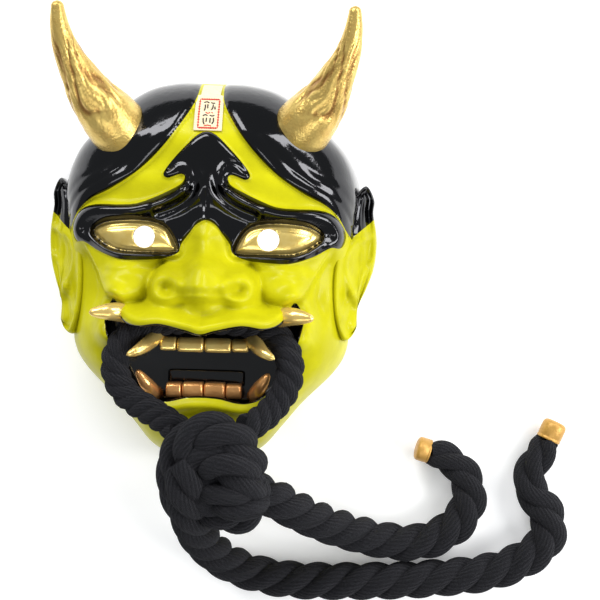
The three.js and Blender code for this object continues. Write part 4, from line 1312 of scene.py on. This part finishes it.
def seal_piece():
    columns, rows = SEAL_GRID
    u, v = np.meshgrid(np.linspace(-1, 1, columns), np.linspace(0, 1, rows))
    y = SEAL_FOOT + (SEAL_TOP - SEAL_FOOT) * v
    x = u * (SEAL_NECK + (SEAL_WIDTH - SEAL_NECK) * rise(SEAL_SHOULDER + 0.5, SEAL_SHOULDER, y)) / 2
    lowest = np.minimum(seal_height(y) - 0.6, face_height(x, y) + 0.3)
    top, under = (np.stack([x, y, z], 2).reshape(-1, 3) for z in (seal_height(y), lowest))
    index = np.arange(rows * columns).reshape(rows, columns)
    quads = np.stack([index[:-1, :-1], index[:-1, 1:], index[1:, 1:], index[1:, :-1]], 2).reshape(-1, 4)
    faces = [tuple(q) for q in quads] + [tuple(q[::-1] + rows * columns) for q in quads]
    border = [*index[0, :-1], *index[:-1, -1], *index[-1, :0:-1], *index[:0:-1, 0]]
    count = rows * columns
    faces += [(b, a, a + count, b + count) for a, b in zip(border, border[1:] + border[:1])]
    return piece("paper_strip", np.concatenate([top, under]), faces, "seal_paper", [paper_material()])


seal = seal_piece()
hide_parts("paper_seal")

# %% Draw the frame and the strokes
def ink_material(name, colour):
    pale = tuple(1.6 * channel + 0.01 for channel in colour)
    return grained(name, colour, pale, 1200, 3, 0.00008, Roughness=0.6)


def ribbon_tree():
    tree, given = geometry_tree("ink_ribbon", [
        ("Width", "Float"), ("Thickness", "Float"), ("Material", "Material"),
    ])
    curve = add(tree, "GeometryNodeMeshToCurve", None, {"Mesh": given["Geometry"]}).outputs[0]
    upright = add(tree, "GeometryNodeSetCurveNormal", {"mode": "Z_UP"}, {"Curve": curve})
    sizes = {"Width": given["Width"], "Height": given["Thickness"]}
    profile = add(tree, "GeometryNodeCurvePrimitiveQuadrilateral", None, sizes)
    swept = add(tree, "GeometryNodeCurveToMesh", None, {
        "Curve": upright.outputs[0], "Profile Curve": profile.outputs[0], "Fill Caps": True,
    })
    finish_tree(tree, swept.outputs[0], given["Material"])
    return tree


def ribbons(name, strokes, width, ink, lift):
    points, edges = [], []
    for stroke in strokes:
        line = smooth_line(stroke, steps=4)
        start = len(points)
        heights = seal_height(line[:, 1]) + lift
        points += np.column_stack([line, heights]).tolist()
        edges += [(start + i, start + i + 1) for i in range(len(line) - 1)]
    values = {"Width": width * MM, "Thickness": RIBBON_THICKNESS * MM, "Material": ink}
    run_tree(name, points, edges, ink_ribbon, values)


FRAME_HALF = 5.9
FRAME_LOW, FRAME_HIGH = 70.6, 90.2
LOZENGE = 0.5
RIBBON_THICKNESS = 0.25
STROKES = [
    [(-3.4, 87.6), (-1.6, 88.2), (-0.2, 87.4)], [(-2.6, 86.2), (-2.4, 84), (-2.9, 82)],
    [(-1, 86.4), (-0.9, 83.6)], [(0.9, 87.8), (2.2, 87.2), (3.4, 87.5)],
    [(2.3, 86.4), (2.2, 84.4), (1.4, 82.4)], [(3.4, 85), (3.6, 83)],
    [(-3.4, 78.4), (-2, 79.2), (-0.6, 78.7)], [(-3, 77), (-2.9, 74.8), (-2.2, 73)],
    [(-1, 77.2), (-1.2, 74.6)], [(0.8, 79), (2.2, 78.4), (3.6, 78.9)],
    [(1.2, 77), (1.1, 74)], [(3.1, 77.2), (3.2, 75), (2.4, 73.2)],
]
RED_MARKS = [
    [(-1.8, 81), (-0.6, 80.2), (0.8, 80.9)], [(1.6, 81), (2.6, 80.4)], [(-2.2, 72), (0, 72.3), (2, 71.9)],
]
ink_ribbon = ribbon_tree()
red_ink = ink_material("red_ink", (0.45, 0.03, 0.015))
black_ink = ink_material("black_ink", (0.02, 0.018, 0.016))
corners = np.array([
    (-FRAME_HALF, FRAME_LOW), (FRAME_HALF, FRAME_LOW), (FRAME_HALF, FRAME_HIGH), (-FRAME_HALF, FRAME_HIGH),
])
frame_lines, lozenges = [], []
for a, b in zip(corners, np.roll(corners, -1, 0)):
    frame_lines.append([a + (b - a) * t for t in np.linspace(0, 1, 8)])
    for t in np.linspace(0, 1, 12)[1:-1]:
        x, y = a + (b - a) * t
        left, right = (x - LOZENGE, y), (x + LOZENGE, y)
        lozenges.append([left, (x, y + LOZENGE), right, (x, y - LOZENGE), left])
ribbons("seal_border", frame_lines, 0.45, red_ink, 0.12)
ribbons("seal_lozenges", lozenges, 0.28, red_ink, 0.16)
ribbons("seal_strokes", STROKES, 0.75, black_ink, 0.15)
ribbons("seal_red_marks", RED_MARKS, 0.6, red_ink, 0.15)

# %% [markdown]
# ## Floor and light
# The mask lies on a plain white sheet, lit by large soft lamps, so gloss shows as broad pale bands.
# A bright sky all around keeps the shadows light.

# %% Lay the floor and hang the lamps
def floor_material():
    made, tree, shader = material("white_sheet", Roughness=0.9)
    shader.inputs["Base Color"].default_value = (0.9, 0.9, 0.9, 1)
    shader.inputs["Emission Color"].default_value = (1, 1, 1, 1)
    shader.inputs["Emission Strength"].default_value = 0.22
    return made


FLOOR_REACH = 4000
sheet_corners = [(x * FLOOR_REACH, y * FLOOR_REACH, 0) for x, y in ((-1, -1), (1, -1), (1, 1), (-1, 1))]
sheet = piece("floor", sheet_corners, [(0, 1, 2, 3)], None, [floor_material()])

world = bpy.data.worlds.new("sky")
world.use_nodes = True
sky = world.node_tree.nodes["Background"]
sky.inputs["Color"].default_value = (0.9, 0.95, 1, 1)
sky.inputs["Strength"].default_value = 0.3
scene.world = world


def lamp(name, place, target, size, power):
    light = bpy.data.lights.new(name, "AREA")
    light.shape = "RECTANGLE"
    light.size, light.size_y = size
    light.energy = power
    obj = bpy.data.objects.new(name, light)
    obj.location = place
    way = np.array(target) - place
    obj.rotation_euler = Vector(way).to_track_quat("-Z", "Y").to_euler()
    scene.collection.objects.link(obj)


FACE_MIDDLE = (0, 0, 0.05)
for name, place, size, power in (
    ("window", (-0.45, 0.8, 0.8), (0.9, 0.5), 13),
    ("fill", (0.75, 0.6, 0.8), (0.5, 0.4), 6),
    ("side", (1.0, -0.25, 0.7), (0.7, 0.5), 11),
    ("front", (0.0, -0.9, 1.0), (0.8, 0.3), 3),
):
    lamp(name, place, FACE_MIDDLE, size, power)
for side in (-1, 1):
    x, y = side * SIGHT_CENTRE[0] * MM, SIGHT_CENTRE[1] * MM
    lamp("under_eye", (x, y, 0.03), (x, y, 0), (0.03, 0.03), 0.02)
scene.view_settings.view_transform = "Standard"
